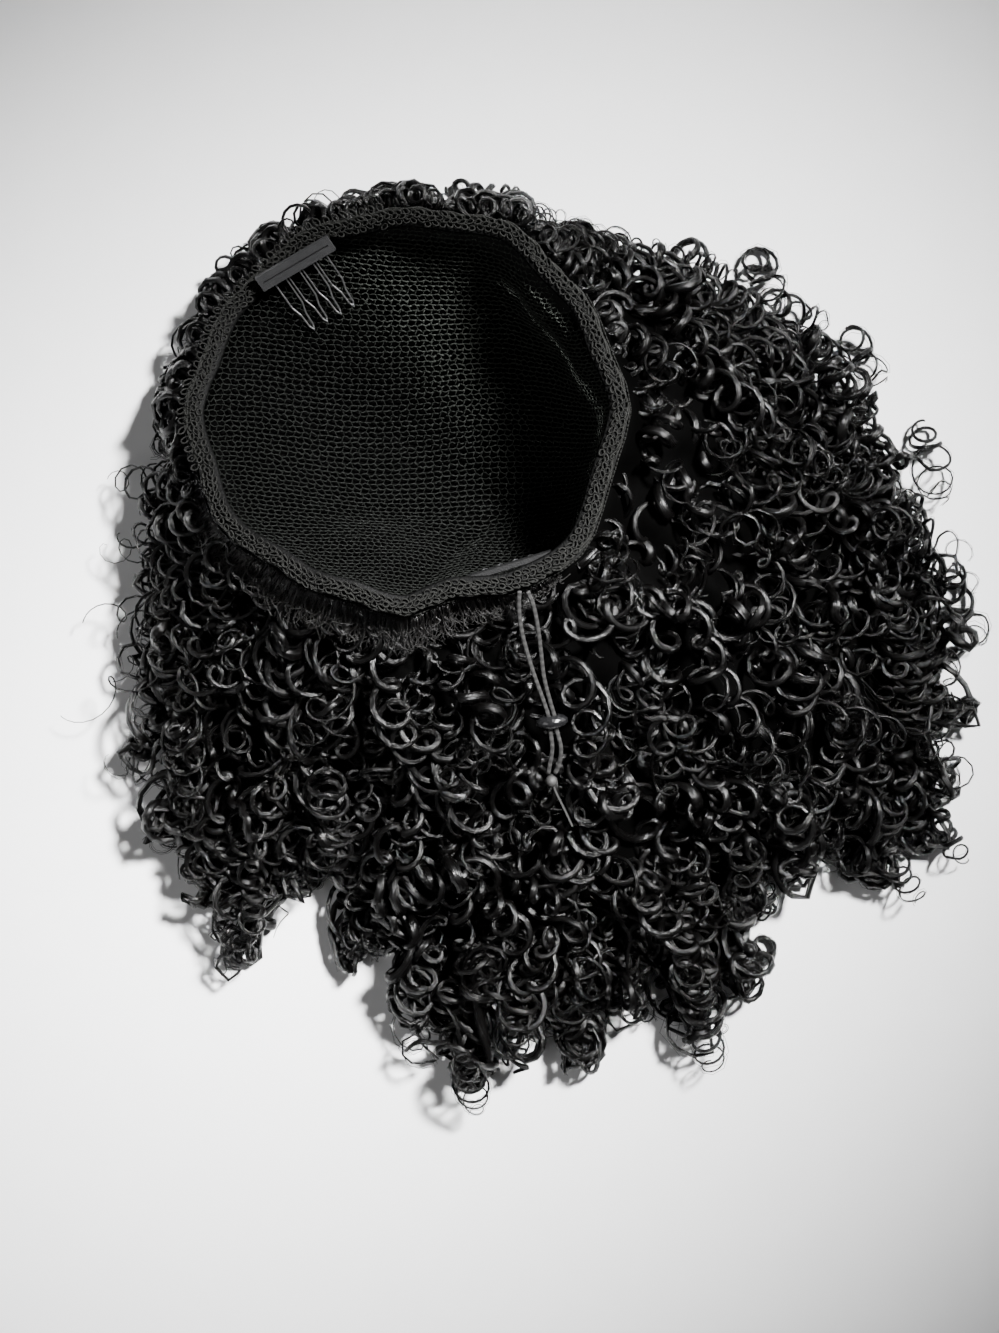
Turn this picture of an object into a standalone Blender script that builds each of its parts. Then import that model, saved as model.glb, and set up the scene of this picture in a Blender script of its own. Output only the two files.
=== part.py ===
"""Drawstring ponytail hairpiece lying on its hair, with the opening of its net cap facing up.

Metres, +Z up. The origin is on the surface that the hair rests on, under the middle of the opening.
+Y runs to the crown end of the cap, and the hair fans out mostly towards -Y and +X.
"""
import math

import bmesh
import bpy
import numpy as np
from mathutils import Matrix, Vector
from mathutils.bvhtree import BVHTree

MM = 0.001
GAP = 0.3 * MM

# Net cap: a knitted bowl whose deepest point has slumped towards the lower right
CAP_RADIUS = 75.6 * MM
RIM_HEIGHT = 80.0 * MM
CAP_DEPTH = 66.0 * MM
CAP_WALL = 1.2 * MM
POCKET_X = 36.0 * MM
POCKET_Y = -33.0 * MM
CAP_BELLY = 1.6
CAP_ROUNDING = 0.75
CAP_STEPS = 48
CAP_RINGS = 10
CAP_RING_CROWDING = 0.85
FOLD_FADE_DEPTH = 0.08
FOLD_LEAN_AT_HEM = 0.35
FOLD_LEAN_GAIN = 0.5
KEEP_OUT_MARGIN = 0.2 * MM
KEEP_OUT_TOP = 1.5

# Hem: the doubled edge of the net in which the drawstring runs
HEM_WIDTH = 7.4 * MM
HEM_THICKNESS = 3.2 * MM
HEM_RIPPLES = 12
HEM_RIPPLE_DEPTH = 0.9 * MM
HEM_FLANK_ANGLE = 60.0

# Top weft: its sewn edge wraps the outside of the cap below the hem
WEFT_PROUD = 1.5 * MM
WEFT_THICKNESS = 2.0 * MM
WEFT_DROP = 6.5 * MM
WEFT_START = 168.0
WEFT_END = 392.0
WEFT_STEPS = 34

# Hair: locks fused to the wefts round the cap
HAIR_REACH = 290.0 * MM
HAIR_BELOW_RIM = 15.0 * MM
HAIR_CROWN = (18.0 * MM, -16.0 * MM, 50.0 * MM)
LOCK_RADIUS = 14.5 * MM
LOCK_TIP_RADIUS = 6.0 * MM
LOCK_CORNERS = 6
LOCK_PITCH = 26.0 * MM
LOCK_RING_SPACING = 17.0 * MM
LOCK_WANDER = 4.2 * MM
LOCK_WANDER_ONSET = 3.0
LOCK_WANDER_LOSS = 0.4
LOCK_WANDER_FLATNESS = 0.6
LOCK_COIL_LENGTH = 54.0 * MM
LOCK_SINK = 2.0 * MM
TOP_LOCK_SHARE = 0.70
TOP_LOCK_RADIUS = 10.5 * MM
TOP_LOCK_PITCH = 32.5 * MM
FIRST_LOCK_BEARING = -185.0
LAST_LOCK_BEARING = 84.0
BEARING_STEP = 3.0
OUTLINE_SLOPE_SHARE = 0.5
LOCK_END_INSET = 0.4
ROUTE_TURN_AT_END = 0.62
ROUTE_TURN_AT_START = 0.2
ROOT_SWEEP = 1.35
ROOT_DEPTH = 0.80
ROOT_DUCK = 1.2
ROOT_DUCK_LENGTH = 16.0 * MM
LOCK_BURIED = 0.35
LOCK_PHASE = 2.4
HAIR_STEPS = 36

# Combs: a folded strip over one bent wire with four looped teeth
COMB_LENGTH = 31.5 * MM
COMB_BAR_WIDTH = 6.4 * MM
COMB_BAR_THICKNESS = 1.8 * MM
COMB_SLIT_WIDTH = 0.7 * MM
COMB_SLIT_DEPTH = 0.9 * MM
COMB_END_MARGIN = 1.6 * MM
TOOTH_COUNT = 4
TOOTH_LENGTH = 28.0 * MM
TOOTH_PITCH = 5.9 * MM
TOOTH_WIDTH = 4.7 * MM
WIRE_DIAMETER = 0.6 * MM
COMB_SEAT_GAP = 0.45 * MM
COMB_SEAT_BEARING = 9.0
COMB_SEAT_DEPTH = 0.16
COMB_SEAT_SAMPLES = 9

# Drawstring: a round elastic whose two runs pass through one bead and end in one knot
CORD_DIAMETER = 1.6 * MM
CORD_POINT_SPACING = 3.4 * MM
ROUTE_FINENESS = 12
BEAD_WIDTH = 12.0 * MM
BEAD_LENGTH = 5.8 * MM
BEAD_THICKNESS = 7.0 * MM
BEAD_PLACE = (53.35 * MM, -114.3 * MM, 58.4 * MM)
BEAD_TURN = 8.0
KNOT_WIDTH = 4.6 * MM
KNOT_PLACE = (53.2 * MM, -136.5 * MM, 51.0 * MM)
TAIL_DIAMETER = 0.9 * MM
CORD_LEFT = [
    (41.2 * MM, -66.9 * MM, 78.2 * MM),
    (41.0 * MM, -72.5 * MM, 76.0 * MM),
    (41.8 * MM, -80.0 * MM, 72.8 * MM),
    (44.0 * MM, -89.0 * MM, 69.0 * MM),
    (46.9 * MM, -98.0 * MM, 65.2 * MM),
    (50.0 * MM, -106.5 * MM, 61.5 * MM),
    (52.0 * MM, -112.6 * MM, 59.0 * MM),
    (52.6 * MM, -117.5 * MM, 57.2 * MM),
    (53.4 * MM, -124.0 * MM, 55.0 * MM),
    (52.6 * MM, -130.0 * MM, 52.9 * MM),
    (52.0 * MM, -133.7 * MM, 51.8 * MM),
]
CORD_RIGHT = [
    (44.2 * MM, -67.0 * MM, 78.2 * MM),
    (46.2 * MM, -72.0 * MM, 76.0 * MM),
    (47.8 * MM, -79.5 * MM, 72.8 * MM),
    (49.0 * MM, -88.5 * MM, 69.0 * MM),
    (50.2 * MM, -98.0 * MM, 65.2 * MM),
    (52.4 * MM, -106.5 * MM, 61.5 * MM),
    (54.2 * MM, -112.6 * MM, 59.0 * MM),
    (55.0 * MM, -117.5 * MM, 57.2 * MM),
    (56.6 * MM, -124.0 * MM, 55.0 * MM),
    (56.0 * MM, -130.0 * MM, 52.9 * MM),
    (54.4 * MM, -133.7 * MM, 51.8 * MM),
]
KNOT_TAIL = [
    (53.2 * MM, -136.5 * MM, 51.0 * MM),
    (55.0 * MM, -141.0 * MM, 49.4 * MM),
    (58.0 * MM, -147.0 * MM, 47.4 * MM),
    (61.0 * MM, -153.5 * MM, 45.6 * MM),
]

# Rim of the cap by bearing: reach in cap radii, height in rim heights and the hem's tilt in degrees
RIM = {
    "bearing": (1, 18, 37, 57, 69, 86, 100, 120, 142, 159, 179, 192, 220, 233, 251, 269, 283, 303, 318,
                333, 348),
    "reach": (1.05, 1.01, 0.99, 1.005, 0.995, 0.97, 0.988, 1.022, 1.04, 1.06, 1.082, 1.067, 1.04, 0.98,
              0.97, 0.985, 0.95, 1.02, 1.095, 1.04, 1.045),
    "height": (1.00, 1.00, 0.97, 0.92, 0.86, 0.78, 0.69, 0.57, 0.48, 0.50, 0.60, 0.70, 0.88, 0.95,
               1.00, 0.99, 1.00, 1.01, 1.00, 0.99, 1.00),
    "tilt": (0, 0, 0, 0, 0, 6, 12, 17, 17, 14, 7, 0, 0, 0, 0, 0, 0, 0, 0, 0, 0),
}

# Folds of the cap: place by bearing and depth, and the push into the hollow in cap radii
FOLDS = {
    "flap": {"bearing": 36, "spread": 34, "depth": 0.22, "depth_spread": 0.20, "push": 0.17},
    "hump": {"bearing": 236, "spread": 40, "depth": 0.62, "depth_spread": 0.26, "push": 0.17},
    "crease": {"bearing": 196, "spread": 16, "depth": 0.66, "depth_spread": 0.24, "push": -0.05},
    "top_dent": {"bearing": 88, "spread": 20, "depth": 0.30, "depth_spread": 0.18, "push": 0.035},
    "bulge": {"bearing": 311, "spread": 36, "depth": 0.50, "depth_spread": 0.30, "push": -0.10},
    "left_dent": {"bearing": 178, "spread": 18, "depth": 0.30, "depth_spread": 0.20, "push": 0.03},
}

# Outline of the hair by bearing, in hair reaches, with the gaps between its clumps
OUTLINE = {
    "bearing": (-193, -184, -170, -165, -152, -142, -134, -127, -120, -115, -110, -104, -101, -98, -93, -88,
                -86, -80, -76, -74, -72, -69, -66, -60, -57, -54, -51, -49, -46, -40, -30, -21, -13, -7,
                -3, 3, 12, 18, 23, 32, 39, 48, 56, 69, 78, 100, 130),
    "reach": (0.28, 0.33, 0.37, 0.41, 0.45, 0.51, 0.58, 0.66, 0.73, 0.76, 0.80, 0.86, 0.64, 0.76, 0.82, 0.92,
              0.98, 0.93, 1.00, 0.92, 0.98, 0.90, 0.98, 0.95, 0.90, 0.88, 0.95, 0.86, 0.95, 0.98, 0.91, 0.85,
              0.79, 0.72, 0.70, 0.65, 0.59, 0.54, 0.49, 0.45, 0.42, 0.38, 0.37, 0.33, 0.28, 0.22, 0.22),
}

# Body of the hair under its locks: height in shares of its height at the cap, spread to the outline
BODY = {
    "height": (0.0, 0.25, 0.46, 0.67, 0.88, 1.0),
    "spread": (0.74, 0.82, 0.65, 0.40, 0.18, 0.03),
}

# Combs on the cap's wall: bearing, depth, turn along the hem and lean off the wall in degrees
COMBS = {
    "comb_upper": {"bearing": 125.5, "depth": 0.04, "turn": -9.0, "lean": 4.0},
    "comb_lower": {"bearing": 302.0, "depth": 0.09, "turn": 0.0, "lean": 3.0},
}

# One tooth loop of the comb wire: length in tooth lengths, half width in half tooth widths
TOOTH = {
    "length": (0.0, 0.56, 0.72, 0.92),
    "half_width": (1.0, 0.96, 0.44, 0.34),
}

FINISHES = {
    "net": {"colour": (0.012, 0.013, 0.013), "roughness": 0.75, "metallic": 0.0},
    "hair": {"colour": (0.008, 0.007, 0.007), "roughness": 0.32, "metallic": 0.0},
    "weft": {"colour": (0.010, 0.010, 0.010), "roughness": 0.65, "metallic": 0.0},
    "strip": {"colour": (0.045, 0.045, 0.045), "roughness": 0.60, "metallic": 0.0},
    "wire": {"colour": (0.45, 0.45, 0.46), "roughness": 0.28, "metallic": 1.0},
    "elastic": {"colour": (0.018, 0.018, 0.018), "roughness": 0.60, "metallic": 0.0},
    "bead": {"colour": (0.008, 0.008, 0.009), "roughness": 0.18, "metallic": 0.0},
}


def clear_scene():
    for item in list(bpy.data.objects):
        bpy.data.objects.remove(item, do_unlink=True)


def make_collection(name):
    collection = bpy.data.collections.new(name)
    bpy.context.scene.collection.children.link(collection)
    return collection


def make_material(name):
    finish = FINISHES[name]
    material = bpy.data.materials.new(name)
    material.use_nodes = True
    shader = material.node_tree.nodes["Principled BSDF"]
    shader.inputs["Base Color"].default_value = (*finish["colour"], 1.0)
    shader.inputs["Roughness"].default_value = finish["roughness"]
    shader.inputs["Metallic"].default_value = finish["metallic"]
    return material


def make_object(name, shape, collection, finish):
    item = bpy.data.objects.new(name, shape)
    collection.objects.link(item)
    shape.materials.append(MATERIALS[finish])
    return item


def make_cutter(name, mesh):
    item = bpy.data.objects.new(name, mesh)
    CUTTERS.objects.link(item)
    item.hide_render = True
    item.display_type = "WIRE"
    return item


def combine(item, operation, other):
    modifier = item.modifiers.new(operation.title(), "BOOLEAN")
    modifier.operation = operation
    modifier.solver = "EXACT"
    if isinstance(other, bpy.types.Collection):
        modifier.operand_type = "COLLECTION"
        modifier.collection = other
    else:
        modifier.object = other


def mesh_from(name, build):
    mesh = bpy.data.meshes.new(name)
    bm = build if isinstance(build, bmesh.types.BMesh) else build()
    bm.normal_update()
    bm.to_mesh(mesh)
    bm.free()
    return mesh


def loft(rings, closed_ring=True, closed_path=False, start_cap=True, end_cap=True):
    """Skin a list of point rings, each with as many points as the next."""
    bm = bmesh.new()
    rows = [[bm.verts.new(point) for point in ring] for ring in rings]
    pairs = list(zip(rows, rows[1:]))
    if closed_path:
        pairs.append((rows[-1], rows[0]))
    count = len(rows[0])
    for low, high in pairs:
        for step in range(count if closed_ring else count - 1):
            after = (step + 1) % count
            bm.faces.new((low[step], low[after], high[after], high[step]))
    if closed_ring and not closed_path:
        if start_cap:
            bm.faces.new(list(reversed(rows[0])))
        if end_cap:
            bm.faces.new(rows[-1])
    return bm


def smooth_shade(mesh, angle=40.0):
    mesh.shade_smooth()
    mesh.set_sharp_from_angle(angle=math.radians(angle))


def around(table, column, bearing):
    """Value of a table's column at a bearing, on a smooth closed curve through its rows."""
    bearings = table["bearing"]
    values = table[column]
    count = len(bearings)
    turn = (bearing - bearings[0]) % 360.0 + bearings[0]
    at = max(index for index in range(count) if bearings[index] <= turn)
    after = (at + 1) % count
    end = bearings[after] + (360.0 if after == 0 else 0.0)
    share = (turn - bearings[at]) / (end - bearings[at])
    p0, p1, p2, p3 = values[at - 1], values[at], values[after], values[(after + 1) % count]
    return 0.5 * (2 * p1 + (p2 - p0) * share + (2 * p0 - 5 * p1 + 4 * p2 - p3) * share ** 2
                  + (3 * p1 - p0 - 3 * p2 + p3) * share ** 3)


def between(table, key, column, value):
    """Value of a table's column where its key column has this value, on straight runs."""
    return float(np.interp(value, table[key], table[column]))


def direction(bearing):
    return Vector((math.cos(math.radians(bearing)), math.sin(math.radians(bearing)), 0.0))


def bell(value, middle, spread):
    return math.exp(-((value - middle) / spread) ** 2)


def bearing_difference(one, other):
    return (one - other + 180.0) % 360.0 - 180.0


def hem_ripple(bearing):
    return HEM_RIPPLE_DEPTH * math.cos(math.radians(HEM_RIPPLES * bearing))


def rim_reach(bearing):
    return CAP_RADIUS * around(RIM, "reach", bearing) + hem_ripple(bearing)


def rim_height(bearing):
    return RIM_HEIGHT * around(RIM, "height", bearing)


def hem_tilt(bearing):
    return math.radians(around(RIM, "tilt", bearing))


def hem_point(bearing, across, above):
    """Point of the hem's section, in half widths from its middle and half thicknesses above it."""
    tilt = hem_tilt(bearing)
    wide = HEM_WIDTH / 2 * across
    high = HEM_THICKNESS / 2 * above
    reach = rim_reach(bearing) - HEM_WIDTH / 2 + wide * math.cos(tilt) - high * math.sin(tilt)
    point = direction(bearing) * reach
    point.z = rim_height(bearing) - HEM_THICKNESS / 2 + wide * math.sin(tilt) + high * math.cos(tilt)
    return point


def wall_top(bearing):
    """Height of the net's upper edge, just under the hem's middle."""
    tilt = hem_tilt(bearing)
    under_hem = HEM_THICKNESS / 2 * (1.0 + 1.0 / math.cos(tilt)) + CAP_WALL * math.sin(tilt)
    return rim_height(bearing) - under_hem - GAP


def cap_point(bearing, depth):
    """Inner face of the cap at a bearing and a depth from 0 at the hem to 1 at the pocket."""
    closing = (1.0 - depth ** CAP_BELLY) ** CAP_ROUNDING
    reach = (rim_reach(bearing) - HEM_WIDTH / 2) * closing
    top = wall_top(bearing)
    floor = RIM_HEIGHT - HEM_THICKNESS - GAP - CAP_DEPTH
    point = direction(bearing) * reach
    point += Vector((POCKET_X, POCKET_Y, 0.0)) * (1.0 - closing)
    point.z = top + (floor - top) * depth
    push = 0.0
    for fold in FOLDS.values():
        side = bearing_difference(bearing, fold["bearing"])
        fade = min(1.0, depth / FOLD_FADE_DEPTH) * closing
        strength = fold["push"] * bell(side, 0.0, fold["spread"])
        push += CAP_RADIUS * strength * bell(depth, fold["depth"], fold["depth_spread"]) * fade
    lean = FOLD_LEAN_AT_HEM + FOLD_LEAN_GAIN * depth
    point += (direction(bearing) * -(1.0 - lean) + Vector((0.0, 0.0, lean))) * push
    return point


def cap_surface():
    """Open inner surface of the cap, from the hem down to the pocket."""
    bearings = [360.0 * step / CAP_STEPS for step in range(CAP_STEPS)]
    depths = [(ring / CAP_RINGS) ** CAP_RING_CROWDING for ring in range(CAP_RINGS)]
    bm = loft([[cap_point(bearing, depth) for bearing in bearings] for depth in depths],
              start_cap=False, end_cap=False)
    bm.verts.ensure_lookup_table()
    last = bm.verts[-CAP_STEPS:]
    pole = bm.verts.new(cap_point(0.0, 1.0))
    for step in range(CAP_STEPS):
        bm.faces.new((last[step], last[(step + 1) % CAP_STEPS], pole))
    bmesh.ops.recalc_face_normals(bm, faces=bm.faces)
    bm.normal_update()
    if sum(face.normal.z * face.calc_area() for face in bm.faces) > 0.0:
        bmesh.ops.reverse_faces(bm, faces=bm.faces)
    bm.normal_update()
    return bm


def build_net_cap():
    mesh = mesh_from("net_cap", cap_surface)
    smooth_shade(mesh, 60.0)
    cap = make_object("net_cap", mesh, PARTS, "net")
    wall = cap.modifiers.new("Wall", "SOLIDIFY")
    wall.thickness = CAP_WALL
    wall.offset = 1.0
    return cap


def cap_keep_out():
    """Closed block that fills the cap and its wall with the gap round it."""
    bm = cap_surface()
    clear = CAP_WALL + GAP + KEEP_OUT_MARGIN
    moves = [(vert, vert.normal.copy()) for vert in bm.verts]
    for vert, normal in moves:
        vert.co += normal * clear
    edges = [edge for edge in bm.edges if edge.is_boundary]
    grown = bmesh.ops.extrude_edge_only(bm, edges=edges)["geom"]
    lifted = [item for item in grown if isinstance(item, bmesh.types.BMVert)]
    for vert in lifted:
        vert.co.z = RIM_HEIGHT * KEEP_OUT_TOP
    bmesh.ops.holes_fill(bm, edges=[edge for edge in bm.edges if edge.is_boundary])
    bmesh.ops.recalc_face_normals(bm, faces=bm.faces)
    return bm


def hem_loft():
    flank = math.cos(math.radians(HEM_FLANK_ANGLE))
    section = ((1.0, 0.0), (flank, 1.0), (-flank, 1.0), (-1.0, 0.0), (-flank, -1.0), (flank, -1.0))
    rings = []
    for step in range(CAP_STEPS):
        bearing = 360.0 * step / CAP_STEPS
        rings.append([hem_point(bearing, across, above) for across, above in section])
    bm = loft(rings, closed_path=True)
    bmesh.ops.recalc_face_normals(bm, faces=bm.faces)
    return bm


def build_rim_casing():
    mesh = mesh_from("rim_casing", hem_loft)
    smooth_shade(mesh, 70.0)
    return make_object("rim_casing", mesh, PARTS, "net")


def weft_section(bearing):
    """Four corners of the sewn edge: its inner side lies on the cap's wall."""
    below = rim_height(bearing) - WEFT_DROP
    depth = max(0.0, wall_top(bearing) - below) / CAP_DEPTH
    seat = cap_point(bearing, depth).to_2d().length + CAP_WALL + GAP * 2
    edge = rim_reach(bearing) + WEFT_PROUD
    corners = ((seat, -1), (edge, -1), (edge, 1), (seat, 1))
    ring = []
    for reach, side in corners:
        point = direction(bearing) * reach
        point.z = below + side * WEFT_THICKNESS / 2
        ring.append(point)
    return ring


def build_weft_track():
    span = WEFT_END - WEFT_START
    bm = loft([weft_section(WEFT_START + span * step / WEFT_STEPS) for step in range(WEFT_STEPS + 1)])
    bmesh.ops.recalc_face_normals(bm, faces=bm.faces)
    mesh = mesh_from("weft_track", bm)
    return make_object("weft_track", mesh, PARTS, "weft")


def hair_reach(bearing):
    """Outline of the hair at a bearing."""
    turn = (bearing - OUTLINE["bearing"][0]) % 360.0 + OUTLINE["bearing"][0]
    return HAIR_REACH * between(OUTLINE, "bearing", "reach", turn)


def body_reach(bearing, spread):
    start = rim_reach(bearing)
    return start + (hair_reach(bearing) - start) * spread


def hair_height(bearing):
    return rim_height(bearing) - HAIR_BELOW_RIM


def build_hair_body():
    """Mass of the hair under its locks, closed by a fan that the cap's bowl is later cut into."""
    rings = []
    for height, spread in zip(BODY["height"], BODY["spread"]):
        ring = []
        for step in range(HAIR_STEPS):
            bearing = 360.0 * step / HAIR_STEPS
            point = direction(bearing) * body_reach(bearing, spread)
            point.z = height * hair_height(bearing)
            ring.append(point)
        rings.append(ring)
    bm = loft(rings, end_cap=False)
    bm.verts.ensure_lookup_table()
    last = bm.verts[-HAIR_STEPS:]
    crown = bm.verts.new(HAIR_CROWN)
    for step in range(HAIR_STEPS):
        bm.faces.new((last[step], last[(step + 1) % HAIR_STEPS], crown))
    bmesh.ops.recalc_face_normals(bm, faces=bm.faces)
    return bm


def curved_route(start, turn, end, count):
    points = []
    for step in range(count):
        share = step / (count - 1)
        points.append(start * (1 - share) ** 2 + turn * 2 * share * (1 - share) + end * share ** 2)
    return points


def lock_mesh(points, radius, tip_radius, phase):
    """A tapering lock that winds slowly round its route, flattened just below the floor."""
    rings = []
    travelled = 0.0
    for index, point in enumerate(points):
        ahead = points[min(index + 1, len(points) - 1)] - points[max(index - 1, 0)]
        ahead.normalize()
        side = ahead.cross(Vector((0.0, 0.0, 1.0))).normalized()
        up = side.cross(ahead)
        if index:
            travelled += (point - points[index - 1]).length
        share = index / (len(points) - 1)
        size = radius + (tip_radius - radius) * share ** 2
        angle = phase + math.tau * travelled / LOCK_COIL_LENGTH
        wander = LOCK_WANDER * min(1.0, share * LOCK_WANDER_ONSET) * (1.0 - LOCK_WANDER_LOSS * share)
        middle = point + side * (wander * math.cos(angle))
        middle += up * (wander * LOCK_WANDER_FLATNESS * math.sin(angle))
        ring = []
        for corner in range(LOCK_CORNERS):
            turn = math.tau * corner / LOCK_CORNERS + phase
            spot = middle + side * (size * math.cos(turn)) + up * (size * math.sin(turn))
            spot.z = max(spot.z, -LOCK_SINK)
            ring.append(spot)
        rings.append(ring)
    bm = loft(rings)
    bmesh.ops.recalc_face_normals(bm, faces=bm.faces)
    return bm


def lock_bearings(pitch, share):
    """Bearings of one layer's locks, a pitch apart along the outline."""
    bearing = FIRST_LOCK_BEARING
    bearings = []
    while bearing < LAST_LOCK_BEARING:
        bearings.append(bearing)
        slope = (hair_reach(bearing + BEARING_STEP) - hair_reach(bearing)) * OUTLINE_SLOPE_SHARE
        run = math.hypot(hair_reach(bearing) * share * math.radians(BEARING_STEP), slope)
        bearing += BEARING_STEP * pitch / run
    return bearings


def root_bearing(bearing):
    return -90.0 + (bearing + 90.0) * ROOT_SWEEP


def body_top(bearing, spread):
    """Height of the hair's body at a bearing and a spread from the cap to the outline."""
    spreads = list(reversed(BODY["spread"][1:]))
    heights = list(reversed(BODY["height"][1:]))
    return hair_height(bearing) * float(np.interp(spread, spreads, heights))


def lock_height(point, radius, lift):
    """Height of a lock's middle: on the floor in the low layer, half sunk in the body in the top one."""
    place = math.degrees(math.atan2(point.y, point.x))
    near = rim_reach(place)
    far = max(hair_reach(place), near + MM)
    past_rim = point.to_2d().length - near
    spread = past_rim / (far - near)
    ducked = radius * (LOCK_BURIED + ROOT_DUCK * bell(max(0.0, past_rim), 0.0, ROOT_DUCK_LENGTH))
    return max(radius - LOCK_SINK, lift * (body_top(place, spread) - ducked))


def layer_locks(kind, share, radius, lift, pitch):
    """Locks of one layer, from the cap's wall out to a share of the outline."""
    meshes = []
    for index, bearing in enumerate(lock_bearings(pitch, share)):
        root = root_bearing(bearing)
        start = direction(root) * (rim_reach(root) * ROOT_DEPTH)
        end = direction(bearing) * (body_reach(bearing, share) - radius * LOCK_END_INSET)
        turn = direction(0.5 * (root + bearing))
        turn *= ROUTE_TURN_AT_END * end.length + ROUTE_TURN_AT_START * start.length
        length = (turn - start).length + (end - turn).length
        count = max(4, round(length / LOCK_RING_SPACING))
        points = curved_route(start, turn, end, count)
        for point in points:
            point.z = lock_height(point, radius, lift)
        lock = lock_mesh(points, radius, LOCK_TIP_RADIUS, LOCK_PHASE * index)
        meshes.append(mesh_from(f"{kind}_{index:02d}", lock))
    return meshes


def build_hair():
    hair = make_object("curly_hair", mesh_from("curly_hair", build_hair_body), PARTS, "hair")
    layers = layer_locks("low_lock", 1.0, LOCK_RADIUS, 0.0, LOCK_PITCH)
    layers += layer_locks("top_lock", TOP_LOCK_SHARE, TOP_LOCK_RADIUS, 1.0, TOP_LOCK_PITCH)
    for mesh in layers:
        lock = make_cutter(mesh.name, mesh)
        LOCKS.objects.link(lock)
        CUTTERS.objects.unlink(lock)
    combine(hair, "UNION", LOCKS)
    combine(hair, "DIFFERENCE", make_cutter("cap_keep_out", mesh_from("cap_keep_out", cap_keep_out)))
    slab = bmesh.new()
    bmesh.ops.create_cube(slab, size=1.0)
    bmesh.ops.scale(slab, vec=(HAIR_REACH * 3, HAIR_REACH * 3, RIM_HEIGHT), verts=slab.verts)
    bmesh.ops.translate(slab, vec=(0.0, 0.0, -RIM_HEIGHT / 2), verts=slab.verts)
    combine(hair, "DIFFERENCE", make_cutter("floor_cut", mesh_from("floor_cut", slab)))
    return hair


def tooth_points():
    """The comb wire's bends, along the bar and down the wall."""
    points = []
    for tooth in range(TOOTH_COUNT):
        middle = (tooth - (TOOTH_COUNT - 1) / 2) * TOOTH_PITCH
        leg = [(length * TOOTH_LENGTH, half * TOOTH_WIDTH / 2)
               for length, half in zip(TOOTH["length"], TOOTH["half_width"])]
        points += [Vector((middle - half, length, 0.0)) for length, half in leg]
        points.append(Vector((middle, TOOTH_LENGTH, 0.0)))
        points += [Vector((middle + half, length, 0.0)) for length, half in reversed(leg)]
    return points


def comb_frame(seat):
    """Comb axes on the cap's wall: along the hem, down the wall and into the hollow."""
    bearing, depth = seat["bearing"], seat["depth"]
    along = cap_point(bearing + COMB_SEAT_BEARING, depth) - cap_point(bearing - COMB_SEAT_BEARING, depth)
    along.normalize()
    down = cap_point(bearing, depth + COMB_SEAT_DEPTH) - cap_point(bearing, depth)
    down = (down - along * down.dot(along)).normalized()
    inward = along.cross(down)
    turned = Matrix.Rotation(math.radians(seat["turn"]), 3, inward)
    leaned = Matrix.Rotation(math.radians(seat["lean"]), 3, turned @ along)
    axes = Matrix([leaned @ turned @ axis for axis in (along, down, inward)]).transposed()
    middle = cap_point(bearing, depth)
    undersides = [(point, -WIRE_DIAMETER / 2) for point in tooth_points()]
    for across in np.linspace(-COMB_LENGTH / 2, COMB_LENGTH / 2, COMB_SEAT_SAMPLES):
        for ahead in (-COMB_BAR_WIDTH / 2, 0.0, COMB_BAR_WIDTH / 2):
            undersides.append((Vector((across, ahead, 0.0)), WIRE_DIAMETER / 2 + GAP))
    inward = axes.col[2]
    lift = -HEM_WIDTH
    for tree in (BVHTree.FromBMesh(cap_surface()), BVHTree.FromBMesh(hem_loft())):
        for point, underside in undersides:
            above = middle + axes @ point + inward * TOOTH_LENGTH
            fall = tree.ray_cast(above, -inward)[3]
            if fall is not None:
                lift = max(lift, TOOTH_LENGTH - fall - underside)
    return Matrix.Translation(middle + inward * (lift + COMB_SEAT_GAP)) @ axes.to_4x4()


def build_comb(name, seat):
    frame = comb_frame(seat)
    lift = WIRE_DIAMETER / 2 + GAP + COMB_BAR_THICKNESS / 2
    bar = bmesh.new()
    bmesh.ops.create_cube(bar, size=1.0)
    bmesh.ops.scale(bar, vec=(COMB_LENGTH, COMB_BAR_WIDTH, COMB_BAR_THICKNESS), verts=bar.verts)
    bmesh.ops.translate(bar, vec=(0.0, 0.0, lift), verts=bar.verts)
    mesh = mesh_from(f"{name}_bar", bar)
    strip = make_object(f"{name}_bar", mesh, PARTS, "strip")
    strip.matrix_world = frame
    slit = bmesh.new()
    bmesh.ops.create_cube(slit, size=1.0)
    slit_length = COMB_LENGTH - 2 * COMB_END_MARGIN
    bmesh.ops.scale(slit, vec=(slit_length, COMB_SLIT_WIDTH, COMB_SLIT_DEPTH * 2), verts=slit.verts)
    bmesh.ops.translate(slit, vec=(0.0, 0.0, lift + COMB_BAR_THICKNESS / 2), verts=slit.verts)
    cutter = make_cutter(f"{name}_slit", mesh_from(f"{name}_slit", slit))
    cutter.matrix_world = frame
    combine(strip, "DIFFERENCE", cutter)
    wire = tube_object(f"{name}_wire", [frame @ point for point in tooth_points()], WIRE_DIAMETER, "wire", 1)
    return strip, wire


def tube_object(name, points, diameter, finish, resolution=2):
    """A round cord or wire along its points, with filled ends."""
    curve = bpy.data.curves.new(name, "CURVE")
    curve.dimensions = "3D"
    curve.bevel_depth = diameter / 2
    curve.bevel_resolution = resolution
    curve.use_fill_caps = True
    spline = curve.splines.new("POLY")
    spline.points.add(len(points) - 1)
    for spot, point in zip(spline.points, points):
        spot.co = (*point, 1.0)
    return make_object(name, curve, PARTS, finish)


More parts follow.
